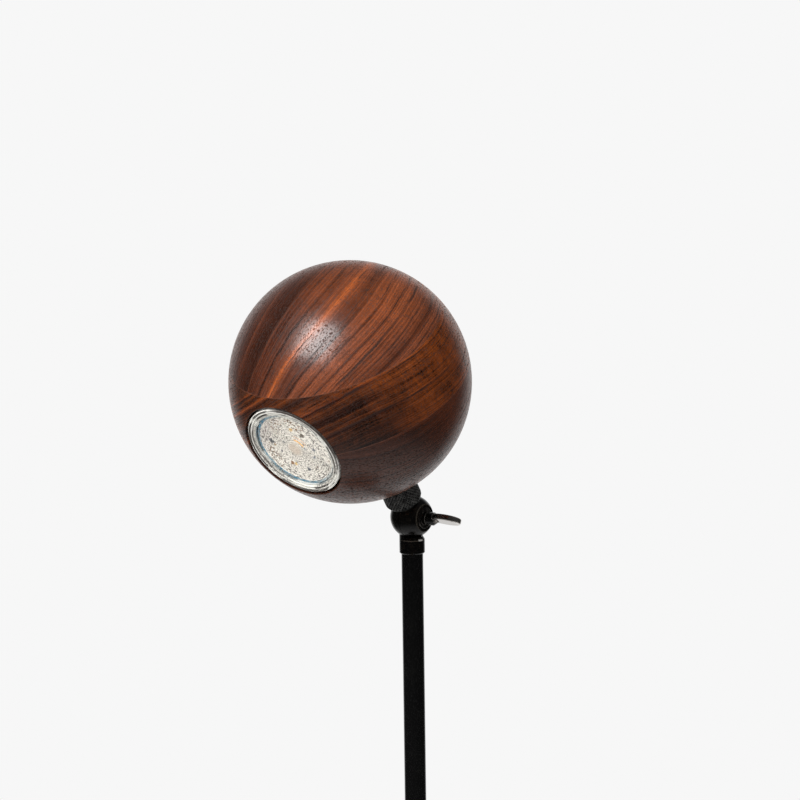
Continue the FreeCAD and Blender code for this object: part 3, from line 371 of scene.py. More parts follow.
def walnut(name, fibre, across, through, bend, twist, tones, streaks, waver, grain, ribbon, paler_side):
    """Streaks are (ring number in mm, name of a tone) and waver is how far they stray, in mm.
    Grain and ribbon are how strong the fine grain and the cross figure are. The paler side is where
    the board turns to a lighter tone towards one direction of the ball: (direction, from, to,
    share, tone)."""
    finish = Finish(name)
    place = finish.place(ball_middle)
    width = finish.along(place, across)
    depth = finish.along(place, through)
    length = finish.along(place, fibre)

    # the growth rings are bent sheets that waver slowly, and a little more quickly
    broad = finish.noise(finish.vector(width * 0.045, depth * 0.045, length * 0.016), 2.0)
    lively = finish.noise(finish.vector(width * 0.25, depth * 0.25, length * 0.035), 3.0, 0.6)
    ring = (width + bend * depth * depth + twist * width * depth
            + (broad - 0.5) * waver + (lively - 0.5) * 0.8)
    colour = finish.ramp(ring, [(number, oiled(*tones[streak])) for number, streak in streaks])

    # the board turns to a lighter tone towards one direction of the ball
    direction, start, end, share, paler_tone = paler_side
    outwards = finish.along(place, direction) + (broad - 0.5) * 20
    lighter = finish.step(outwards, start, end) * share
    colour = finish.blend(lighter, colour, oiled(*tones[paler_tone]))

    # hair and stipple are the fine grain, cloud and rays the figure that crosses it
    hair = finish.noise(finish.vector(ring * 1.7, depth * 0.05, length * 0.008), 2.0, 0.62)
    stipple = finish.noise(finish.vector(width * 1.5, depth * 1.5, length * 0.4), 2.0, 0.6)
    cloud = finish.noise(finish.vector(width * 0.05, depth * 0.05, length * 0.12), 3.0, 0.6)
    rays = finish.noise(finish.vector(width * 0.25, depth * 0.25, length * 1.7), 1.0)
    shade = (1 + (hair - 0.5) * 1.8 * grain + (stipple - 0.5) * 0.8 * grain
             + (cloud - 0.5) * ribbon + (rays - 0.5) * 0.45 * ribbon)
    colour = finish.blend(1.0, colour, finish.vector(shade, shade, shade), "MULTIPLY")

    # a thin dark line ends each year, and it is broken here and there
    uneven = finish.noise(finish.vector(ring * 0.2, 0.0, 7.0), 1.0)
    year = (ring + (uneven - 0.5) * 7).maths("PINGPONG", YEAR_WIDTH / 2)
    broken = finish.noise(finish.vector(ring * 0.3, depth * 0.1, length * 0.03), 2.0)
    line = finish.near(year, 0, 0.08, 0.3) * finish.step(broken, 0.36, 0.6)
    colour = finish.blend(line * 0.8, colour, PORE_BROWN)

    pore = finish.noise(finish.vector(width * 2.0, depth * 2.0, length * 0.8), 1.0, 0.4)
    pores = finish.step(pore, 0.56, 0.62)
    colour = finish.blend(pores * 0.45, colour, PORE_BROWN)

    height = finish.along(place, glue_normal)
    for glue_line in (UPPER_GLUE_LINE, LOWER_GLUE_LINE):
        glue = finish.near(height, glue_line, 0.08, 0.3)
        colour = finish.blend(glue * 0.3, colour, GLUE_BROWN)

    finish.set(base_color=colour,
               roughness=OIL_GLOSS + pores * 0.6 + line * 0.25 + (hair - 0.5) * 0.06,
               sheen_weight=0.12, sheen_roughness=0.25, sheen_tint=SHEEN_TINT)
    finish.bump(stipple * 0.2 - pores - line * 0.6, 0.009)
    return finish.material


# %% The three boards and their streaks
walnut_top = walnut(
    "walnut_top", fibre=(0.023, 0.826, 0.564), across=(0.825, 0.303, -0.477),
    through=(-0.565, 0.476, -0.674), bend=-0.00285, twist=0.00695,
    tones={"line": (44, 23, 16), "umber": (62, 31, 20), "brown": (78, 41, 27),
           "chestnut": (98, 52, 33), "russet": (112, 59, 36), "amber": (146, 74, 35)},
    streaks=[
        (-46, "umber"), (-36.4, "umber"), (-35.9, "chestnut"), (-35.3, "umber"), (-28.2, "line"),
        (-27.8, "russet"), (-27.4, "umber"), (-22.4, "brown"), (-21.9, "line"), (-21, "brown"),
        (-18.2, "chestnut"), (-17.6, "amber"), (-16, "russet"), (-15, "brown"), (-11.6, "brown"),
        (-11, "line"), (-10.4, "chestnut"), (-7.8, "russet"), (-7.2, "umber"), (-6.6, "russet"),
        (-3.8, "russet"), (-3.3, "umber"), (-2.8, "russet"), (0.7, "russet"), (1.2, "line"),
        (1.7, "russet"), (5.2, "chestnut"), (7.6, "umber"), (8.4, "russet"), (17, "chestnut"),
        (46, "chestnut")],
    waver=1.6, grain=1.1, ribbon=0.9, paler_side=((0.4, -0.25, 0.88), 42, 60, 0.3, "amber"))
walnut_middle = walnut(
    "walnut_middle", fibre=(0.25, -0.88, -0.404), across=(0.332, 0.47, -0.818),
    through=(0.91, 0.07, 0.41), bend=-0.00292, twist=-0.00363,
    tones={"line": (30, 15, 10), "umber": (42, 22, 14), "brown": (66, 33, 17),
           "chestnut": (80, 39, 17), "russet": (106, 51, 22), "amber": (132, 63, 19)},
    streaks=[
        (-48, "brown"), (-34, "brown"), (-33.4, "russet"), (-32.7, "umber"), (-31.2, "chestnut"),
        (-30, "umber"), (-28.5, "russet"), (-27, "umber"), (-22, "chestnut"), (-19.5, "umber"),
        (-16, "chestnut"), (-13.4, "russet"), (-12.2, "line"), (-11.4, "chestnut"), (-8.6, "brown"),
        (-7.2, "umber"), (-5.2, "umber"), (-4.3, "chestnut"), (-2.8, "brown"), (-2.3, "umber"),
        (-1.6, "chestnut"), (0.1, "brown"), (0.7, "line"), (1.6, "brown"), (4.8, "brown"),
        (5.8, "umber"), (8.5, "brown"), (12, "umber"), (18, "brown"), (48, "brown")],
    waver=1.2, grain=1.35, ribbon=2.0, paler_side=((0.74, 0.45, 0.5), 13, 34, 0.6, "amber"))
walnut_lower = walnut(
    "walnut_lower", fibre=(0.8, 0.596, 0.072), across=(0.363, -0.576, 0.732),
    through=(-0.478, 0.56, 0.677), bend=0.0, twist=0.0,
    tones={"line": (40, 20, 13), "umber": (55, 28, 18), "brown": (64, 33, 21),
           "chestnut": (92, 45, 24)},
    streaks=[
        (-50, "brown"), (-22, "brown"), (-12, "umber"), (-8, "brown"), (-4.3, "brown"),
        (-3.7, "line"), (-3, "brown"), (1.4, "brown"), (2, "line"), (2.7, "brown"), (7, "umber"),
        (11, "umber"), (11.7, "line"), (12.5, "brown"), (17, "umber"), (21, "chestnut"),
        (26, "umber"), (50, "brown")],
    waver=1.0, grain=0.6, ribbon=0.6, paler_side=((0.74, 0.45, 0.5), 20, 46, 0.7, "chestnut"))
for low, high, name, material in ((UPPER_GLUE_LINE, None, "top", walnut_top),
                                  (LOWER_GLUE_LINE, UPPER_GLUE_LINE, "middle", walnut_middle),
                                  (None, LOWER_GLUE_LINE, "lower", walnut_lower)):
    board = name + "_board"
    made_piece(ball_board(low, high), "turned_" + board, "head", "head_" + board,
               material, upright)

# %% [markdown]
# ## Knurled pieces
# The ring under the ball and the switch's knob are knurled: a pair of wheels rolls crossed grooves
# into the metal and leaves rows of small diamonds. Here the lathe outline gets many short steps,
# every second point stands proud, and each square is split between its two high corners, so that
# crossed ridges run round small pits. They catch the light by their own facets and roughen the
# outline, which a bump map can't do.

# %% Diamond knurl
def knurled(bore, radius, low, high, chamfer, pitch, columns, depth):
    """A sleeve from low to high; pitch is the height of one row of points."""
    rows = round((high - low - 2 * chamfer) / pitch)
    start = low + chamfer
    pitch = (high - chamfer - start) / rows
    flank = [(radius - depth, start + pitch * row) for row in range(rows + 1)]
    end_radius = radius - chamfer - depth / 2
    mesh = turned([(bore, low), (end_radius, low)] + flank + [(end_radius, high), (bore, high)],
                  columns)
    for point in mesh.verts:
        row = round((point.co.z - start) / pitch)
        column = round(math.atan2(point.co.y, point.co.x) * columns / (2 * math.pi))
        on_flank = point.co.xy.length > radius - depth - 0.01 and 0 < row < rows
        if on_flank and (row + column) % 2:
            point.co.xy *= radius / (radius - depth)
    bmesh.ops.triangulate(mesh, faces=[face for face in mesh.faces if len(face.verts) == 4],
                          quad_method="LONG_EDGE")
    return mesh


# %% [markdown]
# ## Metals and moulded parts
# The black parts are blackened steel that hands have rubbed, so they are worn where hands reach: on
# the key's blade and the knurl's ridges. The knurl's pits and the top of the ring under the ball
# get painted shade. The swivel gets painted highlights on the key flat's rim and on the lower
# shank's shoulder edge, with a painted glint on that edge, and the key's hub gets a painted
# highlight round its edge. Bright metal shows the lathe's rings round its own axis. Plastic, rubber
# and ceramic have only a fine grain.

# %% Metals and other finishes
KEY_FLAT_RADIUS = 6.7       # round flat on the swivel that the washer lies on
SHOULDER_END = 11.0         # tilt axis to the edge where a shank gets its full width
GLINT_SPOT = (6.1, -1.0, -11.0)      # painted glint on the shoulder's edge, from the swivel's middle
RING_RADIUS = 9.2
RING_KNURL = {"chamfer": 0.6, "pitch": 1.05, "columns": 66, "depth": 0.6}
RING_SHADE_HEIGHT = 24.0         # height on the ring at which the painted shade from the ball is full; it starts 5 mm lower
knob_frame = moved(0, -50.0, 0)
KNOB_RADIUS = 9.0
KNOB_KNURL = {"chamfer": 0.8, "pitch": 0.9, "columns": 64, "depth": 0.5}
KNOB_BOTTOM = 26.8
KNOB_END = 40.8
KNOB_SHADE_HEIGHT = 60.0         # lies past the knob's end, so the knob gets no painted shade
PIT_SHADE_EDGE = (0.68, 0.36)     # shares of the knurl's depth between which the pits' black, deepened as painted shade, gives way
POINTER_START = 3.5         # the white line on the knob's end, from its axis outwards
POINTER_HALF_WIDTH = 0.5
HUB_HIGHLIGHT = 10.2             # tilt axis to the painted highlight round the key's hub edge
BLADE_POLISH = (14.5, 16.5)     # tilt axis to where the black gives way to the polish
BLADE_TIP = (26.5, 28.5)        # and to where the tip is rubbed brighter


def metal(name, colour, worn, roughness, spread=0.12, patch=4.0, metallic=0.9, edge=0.35):
    """Blackened or plated metal: worn is the colour where it is rubbed, in patches of patch mm."""
    finish = Finish(name, metallic=metallic)
    place = finish.place()
    rub = finish.noise(finish.scaled(place, 1 / patch), 4.0, 0.65)
    fine = finish.noise(finish.scaled(place, 3.0), 2.0)
    finish.set(base_color=finish.blend(finish.step(rub, 0.45, 0.85), colour, worn),
               roughness=roughness + (rub - 0.5) * spread + (fine - 0.5) * 0.06)
    finish.bump(fine, 0.006, edge)
    return finish.material


def knurled_metal(name, matrix, crest, depth, shade_height, pointer=False):
    """Black in the pits, deepened as painted shade, and rubbed on the ridges, by the distance from
    the axis. Over the 5 mm up to the height shade_height and above it, the ridges are darkened as
    painted shade from the ball."""
    finish = Finish(name, metallic=0.3)
    place = finish.place(matrix.to_translation())
    axis = matrix.to_3x3() @ Vector((0, 0, 1))
    radius = finish.round_axis(place, axis)
    along = finish.along(place, axis)
    rub = finish.noise(finish.scaled(place, 0.4), 3.0)
    pit_shade_end, rubbed_start = (crest - share * depth for share in PIT_SHADE_EDGE)
    height = finish.step(radius, pit_shade_end, rubbed_start)
    rubbed = finish.blend(finish.step(rub, 0.3, 0.7), tone(34, 33, 32), tone(80, 79, 77))
    # painted shade: the ridges darken towards the ball, where its shadow falls on the ring
    ball_shade = finish.step(along, shade_height - 5.0, shade_height)
    rubbed = finish.blend(ball_shade * 0.75, rubbed, tone(20, 19, 18))
    # the pits are black oxide, deepened to near black as painted shade in the grooves
    colour = finish.blend(height, tone(3, 3, 3), rubbed)
    if pointer:
        line = finish.near(finish.along(place, (1, 0, 0)), 0,
                           POINTER_HALF_WIDTH - 0.05, POINTER_HALF_WIDTH + 0.1)
        outwards = finish.step(finish.along(place, (0, -1, 0)),
                               POINTER_START - 0.1, POINTER_START + 0.1)
        on_end = finish.step(along, KNOB_END - 0.1, KNOB_END - 0.05)
        colour = finish.blend(line * outwards * on_end, colour, tone(226, 224, 218))
    finish.set(base_color=colour, roughness=0.3 + rub * 0.12)
    return finish.material


def swivel_black(name):
    """Blackened steel, rubbed brown in places, with painted highlights on the key flat's rim and on
    the lower shank's shoulder edge, and a painted glint on that edge.
    """
    finish = Finish(name, metallic=0.4)
    place = finish.place((0, 0, SWIVEL_HEIGHT))
    across = finish.along(place, (1, 0, 0))
    out = finish.round_axis(place, (1, 0, 0))
    rub = finish.noise(finish.scaled(place, 0.22), 4.0, 0.65)
    fine = finish.noise(finish.scaled(place, 3.0), 2.0)
    colour = finish.blend(finish.step(rub, 0.45, 0.8), tone(10, 9, 8), tone(36, 28, 21))
    # painted highlight round the key flat's rim, brighter on its upper side where the light falls
    rim = finish.near(out, KEY_FLAT_RADIUS, 0.1, 0.5) * finish.step(across, 7.4, 7.9)
    lit_upper_side = finish.step(finish.along(place, (0, -0.6, 0.8)), -3.0, 6.0)
    colour = finish.blend(rim * (0.15 + 0.35 * lit_upper_side), colour, tone(92, 84, 74))
    # painted highlight along the lower shank's shoulder edge
    down = finish.along(place, (0, 0, -1))
    edge = finish.near(down, SHOULDER_END + 0.2, 0.05, 0.35) * finish.step(across, -3.0, 1.0)
    colour = finish.blend(edge * 0.6, colour, tone(104, 94, 84))
    # painted glint: a small bright spot on the shoulder's edge
    painted_glint = 1 - finish.step(finish.distance(place, GLINT_SPOT), 0.9, 1.7)
    colour = finish.blend(painted_glint * finish.near(down, SHOULDER_END, 0.3, 0.6), colour,
                          tone(224, 220, 214))
    finish.set(base_color=colour, roughness=0.22 + (rub - 0.5) * 0.12)
    finish.bump(fine, 0.006, 0.4)
    return finish.material


def key_black(name):
    """Black at the hub with a painted highlight round its edge, and polished to a dark mirror on
    the blade that fingers turn.
    """
    finish = Finish(name)
    place = finish.place((0, 0, SWIVEL_HEIGHT))
    across = finish.along(place, (1, 0, 0))
    fine = finish.noise(finish.scaled(place, 2.0), 3.0)
    polish = finish.step(across + (fine - 0.5) * 2, *BLADE_POLISH)
    # painted highlight: a light ring round the hub's edge
    hub_highlight = finish.near(across, HUB_HIGHLIGHT, 0.1, 0.35)
    hub = finish.blend(hub_highlight * 0.7, tone(12, 11, 10), tone(96, 92, 87))
    blade = finish.blend(finish.step(across, *BLADE_TIP), tone(168, 162, 156), tone(236, 231, 225))
    finish.set(base_color=finish.blend(polish, hub, blade), metallic=0.3 + 0.7 * polish,
               roughness=0.24 - 0.12 * polish + (fine - 0.5) * 0.05)
    finish.bump(fine, 0.004, 0.4)
    return finish.material


def turned_metal(name, colour, matrix, roughness=0.25, metallic=1.0):
    """Bright metal with the fine rings a lathe tool leaves round an axis."""
    finish = Finish(name, metallic=metallic)
    place = finish.place(matrix.to_translation())
    axis = matrix.to_3x3() @ Vector((0, 0, 1))
    height = finish.along(place, axis)
    radius = finish.round_axis(place, axis)
    lines = finish.noise(finish.vector(radius * 6.0, height * 6.0, 0.0), 3.0, 0.7)
    darker = tuple(channel * 0.72 for channel in colour[:3]) + (1.0,)
    finish.set(base_color=finish.blend(lines, darker, colour), roughness=roughness + lines * 0.2)
    finish.bump(lines, 0.008)
    return finish.material


def moulded(name, colour, lighter, roughness, grain=0.01, patch=2.5):
    """Plastic, rubber, fibre or ceramic: a fine grain and a faint mottle."""
    finish = Finish(name)
    place = finish.place()
    mottle = finish.noise(finish.scaled(place, 1 / patch), 4.0, 0.6)
    fine = finish.noise(finish.scaled(place, 5.0), 2.0)
    finish.set(base_color=finish.blend(mottle, colour, lighter),
               roughness=roughness + (mottle - 0.5) * 0.15 + (fine - 0.5) * 0.1)
    finish.bump(fine, grain)
    return finish.material


finishes = {
    "brass": turned_metal("brass", tone(202, 160, 88), neck_frame),
    "zinc_steel": turned_metal("zinc_steel", tone(176, 178, 182), upright, 0.3),
    "nickel_steel": turned_metal("nickel_steel", tone(196, 192, 184), upright, 0.2),
    "aluminium": turned_metal("aluminium", tone(208, 210, 214), bulb_frame, 0.35),
    "black_knurl": knurled_metal("black_knurl", neck_frame, RING_RADIUS, RING_KNURL["depth"],
                                 RING_SHADE_HEIGHT),
    "black_satin": swivel_black("black_satin"),
    "key_black": key_black("key_black"),
    "black_gloss": metal("black_gloss", tone(8, 8, 8), tone(13, 13, 12), roughness=0.16,
                         spread=0.06, patch=9.0, metallic=0.0),
    "black_chrome": metal("black_chrome", tone(168, 162, 156), tone(190, 184, 177),
                          roughness=0.12, spread=0.04, patch=3.0, metallic=1.0, edge=0.4),
    "black_iron": metal("black_iron", tone(26, 25, 25), tone(44, 43, 42), roughness=0.42,
                        spread=0.14, patch=8.0, metallic=0.4),
    "black_knob": knurled_metal("black_knob", knob_frame, KNOB_RADIUS, KNOB_KNURL["depth"],
                                KNOB_SHADE_HEIGHT, pointer=True),
    "fibre": moulded("fibre", tone(92, 58, 40), tone(120, 80, 56), 0.7, 0.02, 1.0),
    "ceramic_white": moulded("ceramic_white", tone(214, 210, 200), tone(226, 222, 214), 0.3),
    "lead_black": moulded("lead_black", tone(20, 20, 20), tone(32, 32, 32), 0.5),
    "led_board": moulded("led_board", tone(206, 210, 212), tone(226, 228, 230), 0.4),
    "led_phosphor": moulded("led_phosphor", tone(226, 186, 62), tone(238, 206, 92), 0.5, 0.02, 0.8),
    "white_plastic": moulded("white_plastic", tone(222, 222, 220), tone(234, 234, 232), 0.4),
    "circuit_green": moulded("circuit_green", tone(30, 84, 52), tone(40, 104, 64), 0.45),
    "nylon_black": moulded("nylon_black", tone(22, 22, 23), tone(34, 34, 35), 0.5, 0.015),
    "ferrite": moulded("ferrite", tone(44, 44, 46), tone(66, 66, 68), 0.7, 0.03, 0.8),
    "rubber_black": moulded("rubber_black", tone(26, 26, 26), tone(38, 38, 38), 0.85, 0.04, 1.2),
    "black_plastic": moulded("black_plastic", tone(24, 24, 25), tone(36, 36, 37), 0.45, 0.015),
}
print(len(finishes), "finishes for the solids")

# %% [markdown]
# ## The ring, the washer and the knob
# The ring screws down the threaded nipple and clamps the ball on its neck. Fingers turn it, so it
# is knurled from end to end with a small chamfer at both edges. The washer under the key has a
# rounded edge and a turned groove. The switch's knob in the base gets a slightly finer knurl and a
# white line that shows where it points.

# %% Knurled ring
RING_BOTTOM = 10.2
THREAD_RADIUS = 5.0
FACETS = 12.0               # degrees; keeps the knurl's facets flat
ring_mesh = knurled(THREAD_RADIUS, RING_RADIUS, RING_BOTTOM, NECK_SEAT, **RING_KNURL)
made_piece(ring_mesh, "diamond_ring", "ring", "knurled_ring",
           finishes["black_knurl"], neck_frame, crease=FACETS)

# %% Cup washer under the key
WASHER_BACK = 7.33          # a hair off the swivel's flat, so that it turns without rubbing
WASHER_FACE = 8.5
WASHER_BORE_RADIUS = 2.55
WASHER_RADIUS = 5.3
WASHER_ROUND = 0.7
GROOVE_FLOOR = 8.2
round_start = WASHER_FACE - WASHER_ROUND
washer_outline = [(WASHER_BORE_RADIUS, WASHER_BACK), (WASHER_RADIUS, WASHER_BACK),
                  (WASHER_RADIUS, round_start)]
washer_outline += arc((WASHER_RADIUS - WASHER_ROUND, round_start), WASHER_ROUND, 90, 0,
                      count=6)
washer_outline += [(4.2, WASHER_FACE), (4.0, GROOVE_FLOOR), (3.6, GROOVE_FLOOR),
                   (3.4, WASHER_FACE), (WASHER_BORE_RADIUS, WASHER_FACE)]
washer_black = metal("washer_black", tone(56, 53, 50), tone(120, 115, 108), roughness=0.2,
                     spread=0.08, patch=2.0)
made_piece(turned(washer_outline, steps=96), "cup_washer", "key", "key_washer",
           washer_black, moved(0, 0, SWIVEL_HEIGHT) @ leaned(90, "Y"), crease=25.0)

# %% Switch knob
END_RADIUS = 6.8            # the flat middle of the knob's ends
knob_mesh = knurled(END_RADIUS, KNOB_RADIUS, KNOB_BOTTOM, KNOB_END, **KNOB_KNURL)
for height in (KNOB_BOTTOM, KNOB_END):
    rim = [edge for edge in knob_mesh.edges
           if all(point.co.xy.length < END_RADIUS + 0.1 and abs(point.co.z - height) < 0.01
                  for point in edge.verts)]
    bmesh.ops.contextual_create(knob_mesh, geom=rim)
made_piece(knob_mesh, "knurled_knob", "knob", "switch_knob", finishes["black_knob"],
           knob_frame, crease=FACETS)

# %% [markdown]
# ## Front of the bulb
# The bulb is a pressed glass reflector lamp. What shows in the ball's mouth is its thick clear rim,
# pressed in steps like a lens for a lighthouse, and a white front with rings of tiny lenslets that
# spread the light. The rim is one lathe shape with a step for every ring, and the light and dark
# bands that these steps show are painted into its material. On the front, the rings are turned and
# the lenslets are laid round them by the material.

# %% Stepped glass rim
BULB_FACE = 51.0
BULB_RADIUS = 24.8
CUP_RADIUS = 23.1
RIM_BACK = 45.9
RIM_WIDEST = (47.6, 50.7)   # heights between which the rim has the bulb's full radius
MOUTH_RADIUS = 20.6
SEAT_RADIUS = 19.6          # the lens lies on a step that reaches in this far
LENS_BOTTOM = 47.5
LENS_TOP = 49.5
SHADED_GLASS = tone(72, 68, 64)
LIT_GLASS = tone(242, 240, 232)
MIRRORED_WOOD = tone(44, 34, 30)
PAINTED_GLASS_BANDS = [             # radius and tone of the painted light and dark bands, from the lens outwards
    (19.6, (150, 146, 140)), (20.4, (84, 96, 104)), (20.7, (150, 156, 154)),
    (21.2, (236, 233, 225)), (21.7, (190, 186, 178)), (22.0, (92, 88, 83)),
    (22.35, (72, 68, 64)), (22.8, (196, 192, 184)), (23.3, (238, 236, 229)),
    (23.65, (120, 116, 110)), (24.0, (58, 54, 50)), (24.35, (120, 116, 110)),
    (24.6, (246, 244, 238))]
PRESSED_RINGS = [           # radius and height of the rim's steps, from the outside inwards
    (24.5, BULB_FACE), (24.0, BULB_FACE), (23.8, 50.4), (23.5, 50.4), (23.3, 50.9), (22.8, 50.9),
    (22.6, 50.2), (22.3, 50.2), (22.1, 50.7), (21.6, 50.7), (21.4, 49.9), (21.1, 49.9),
    (20.95, 50.3), (MOUTH_RADIUS, 50.3)]


def round_bulb(finish):
    """Place across the bulb and radius from its axis in mm, and the direction round it as a
    cosine and a sine."""
    place = finish.place(bulb_frame @ Vector((0, 0, LENS_TOP)))
    x = finish.along(place, (1.0, 0.0, 0.0))
    y = finish.along(place, bulb_frame.to_3x3() @ Vector((0, 1, 0)))
    radius = (x * x + y * y + 0.01).maths("SQRT")
    return x, y, radius, x / radius, y / radius


def clear_glass():
    """Thick glass over a silvered back: the light and dark band that each step shows is painted
    into the colour, with painted shade, painted highlights and a painted reflection of the wood.
    """
    finish = Finish("clear_glass")
    _, _, radius, cosine, sine = round_bulb(finish)
    sway = finish.noise(finish.vector(cosine * 1.8, sine * 1.8, radius * 0.12), 2.0)
    # painted light and dark bands, one pair for each step
    colour = finish.ramp(radius + (sway - 0.5) * 1.6,
                         [(edge, tone(*shade)) for edge, shade in PAINTED_GLASS_BANDS])
    ribs = finish.noise(finish.vector(cosine * 26, sine * 26, radius * 1.4), 2.0, 0.6)
    # painted shade: the ribs are darker, more so on the lower side
    shaded_lower_side = finish.step(0 - sine, -0.4, 0.6)
    ribbed = finish.step(ribs, 0.5, 0.6) * (0.25 + 0.45 * shaded_lower_side)
    colour = finish.blend(ribbed, colour, SHADED_GLASS)
    # painted highlights in patches
    patch = finish.noise(finish.vector(cosine * 2.4, sine * 2.4, radius * 0.3 + 9), 1.0)
    colour = finish.blend(finish.step(patch, 0.54, 0.62) * 0.7, colour, LIT_GLASS)
    # painted reflection of the wood on the upper right of the rim
    wood_reflection = finish.step(cosine + sine, 0.75, 1.1) * finish.step(radius, 23.2, 23.5)
    colour = finish.blend(wood_reflection * 0.85, colour, MIRRORED_WOOD)
    finish.set(base_color=colour, roughness=0.08 + ribs * 0.08)
    finish.bump(ribs, 0.12)
    return finish.material


rim_outline = [(CUP_RADIUS - 1.5, RIM_BACK), (CUP_RADIUS, RIM_BACK)]
rim_outline += [(BULB_RADIUS, height) for height in RIM_WIDEST]
rim_outline += PRESSED_RINGS
rim_outline += [(MOUTH_RADIUS, LENS_BOTTOM), (SEAT_RADIUS, LENS_BOTTOM), (SEAT_RADIUS, RIM_BACK)]
finishes["clear_glass"] = clear_glass()
made_piece(turned(rim_outline, steps=192), "stepped_rim", "bulb", "bulb_rim",
           finishes["clear_glass"], bulb_frame, crease=25.0)

# %% Lens with its rings
LENS_RADIUS = 20.55         # a hair less than the mouth, so that the lens lies loose in it
RING_PITCH = 1.1
OUTER_RING = 20.2
INNER_RING = 5.0
GROOVE = 0.3                # depth of the rings' grooves
CREST = 0.02                # the rings' crests lie this far under the lens's middle
GLOW_RADIUS = 5.9           # an arc of light from the room, and a faint one outside it
FAINT_GLOW_RADIUS = 8.3
CHIPS = [                   # degrees round, mm out, radius and tone of the parts on the board
    (47, 12.0, 1.5, (84, 72, 56)), (76, 12.3, 1.3, (206, 170, 108)),
    (163, 12.9, 1.6, (78, 80, 84)), (171, 11.2, 0.8, (150, 120, 70)),
    (143, 6.3, 0.7, (96, 98, 100)), (193, 9.1, 0.8, (110, 110, 114)),
    (237, 10.6, 1.3, (136, 92, 46)), (248, 10.2, 1.0, (226, 190, 120)),
    (284, 12.2, 1.3, (88, 92, 98)), (337, 10.4, 0.9, (112, 118, 128)),
    (3, 11.3, 1.0, (96, 104, 112)), (8, 6.2, 0.6, (120, 126, 140))]


def ringed_lens():
    outline = [(0, LENS_BOTTOM), (LENS_RADIUS, LENS_BOTTOM), (LENS_RADIUS, LENS_TOP - GROOVE)]
    radius = OUTER_RING
    while radius > INNER_RING:
        outline += [(radius, LENS_TOP - CREST), (radius - RING_PITCH / 2, LENS_TOP - GROOVE)]
        radius -= RING_PITCH
    outline += [(4.6, LENS_TOP - 0.2), (4.2, LENS_TOP - CREST), (0, LENS_TOP)]
    return turned(outline, steps=160, closed=False)


def lens_front():
    """Clear lenslets over the white board: its chips and resistors show as specks."""
    finish = Finish("lens_clear")
    x, y, radius, cosine, sine = round_bulb(finish)
    ripple = finish.noise(finish.vector(cosine * 4, sine * 4, radius * 0.9), 2.0)
    rings = (radius * 5.7 + ripple * 5).maths("SINE")
    lenslets = finish.noise(finish.vector(cosine * 11, sine * 11, radius * 1.5), 3.0, 0.75)
    colour = finish.blend(finish.step(lenslets, 0.36, 0.52), tone(96, 90, 80), tone(241, 235, 224))
    near_middle = 1 - finish.step(radius, 7.0, 13.0)
    ringed = finish.step(rings, 0.0, 0.9) * (0.12 + 0.4 * near_middle)
    colour = finish.blend(ringed, colour, tone(188, 179, 166))
    # painted shade on the upper left of the lens, towards its edge
    shaded_side = finish.step(0 - cosine * 0.8 + sine * 0.6, 0.6, 0.95) * finish.step(radius, 11, 15)
    colour = finish.blend(shaded_side * 0.35, colour, tone(176, 166, 160))

    dash = finish.noise(finish.vector(cosine * 14, sine * 14, radius * 1.2 + 30), 1.0)
    dashes = finish.step(dash, 0.54, 0.6)
    cluster = finish.noise(finish.vector(x * 0.11, y * 0.11, 4.0), 1.0)
    outer = finish.step(radius, 9, 14) * (1 - finish.step(radius, 17.5, 19.5))
    tint = finish.blend(finish.step(cluster, 0.45, 0.55), tone(84, 80, 76), tone(120, 90, 54))
    clustered = dashes * outer * finish.step(abs(cluster - 0.5), 0.02, 0.1)
    colour = finish.blend(clustered * 0.85, colour, tint)

    board = finish.vector(x, y, 0.0)
    for angle, out, size, shade in CHIPS:
        turn = math.radians(angle)
        gap = finish.distance(board, (out * math.cos(turn), out * math.sin(turn), 0))
        near = 1 - finish.step(gap + (lenslets - 0.5) * 2.5, size * 0.6, size * 1.1)
        colour = finish.blend(near * 0.9, colour, tone(*shade))

    middle_glow = 1 - finish.step(radius, 2.0, 5.0)
    colour = finish.blend(middle_glow * 0.7, colour, tone(214, 196, 176))
    upper_right = finish.step(cosine * 0.7 + sine * 0.7, 0.82, 0.95)
    arc_line = finish.near(radius, GLOW_RADIUS, 0.25, 0.8)
    faint_line = finish.near(radius, FAINT_GLOW_RADIUS, 0.2, 0.6)
    colour = finish.blend(arc_line * upper_right * 0.9, colour, tone(252, 196, 116))
    colour = finish.blend(faint_line * upper_right * 0.45, colour, tone(240, 196, 160))

    left_side = finish.step(0 - cosine * 0.75 - sine * 0.3, -0.6, 0.3)
    blue_edge = (finish.step(radius, 18.9, 19.5) * left_side
                 * finish.step(dashes + lenslets, 0.35, 0.6))
    colour = finish.blend(blue_edge, colour, tone(74, 132, 158))
    finish.set(base_color=colour, roughness=0.2 + lenslets * 0.15)
    finish.bump(lenslets + rings * 0.2, 0.3)
    return finish.material


finishes["lens_clear"] = lens_front()
made_piece(ringed_lens(), "ringed_lens", "bulb", "bulb_lens", finishes["lens_clear"],
           bulb_frame, crease=20.0)

# %% [markdown]
# ## Finishes for the other solids
# The swivel, key, tube, foot and base are plain turned or bent parts, and their solids are already
# right. Each one takes the finish that its record names. The key is handled all the time, so its
# black is worn to a dark mirror on the blade and gets a finish of its own.

# %% Dress the solids
for piece in frame["record"]["subparts"]:
    name, slot = piece["node"], piece["material_slot"]
    if name == "thumb_key":
        slot = "key_black"
    solid = frame["nodes"][name]
    if slot in finishes and not solid.hide_render:
        solid.data.materials.clear()
        solid.data.materials.append(finishes[slot])
        solid.data.shade_smooth()
print("all solids dressed")

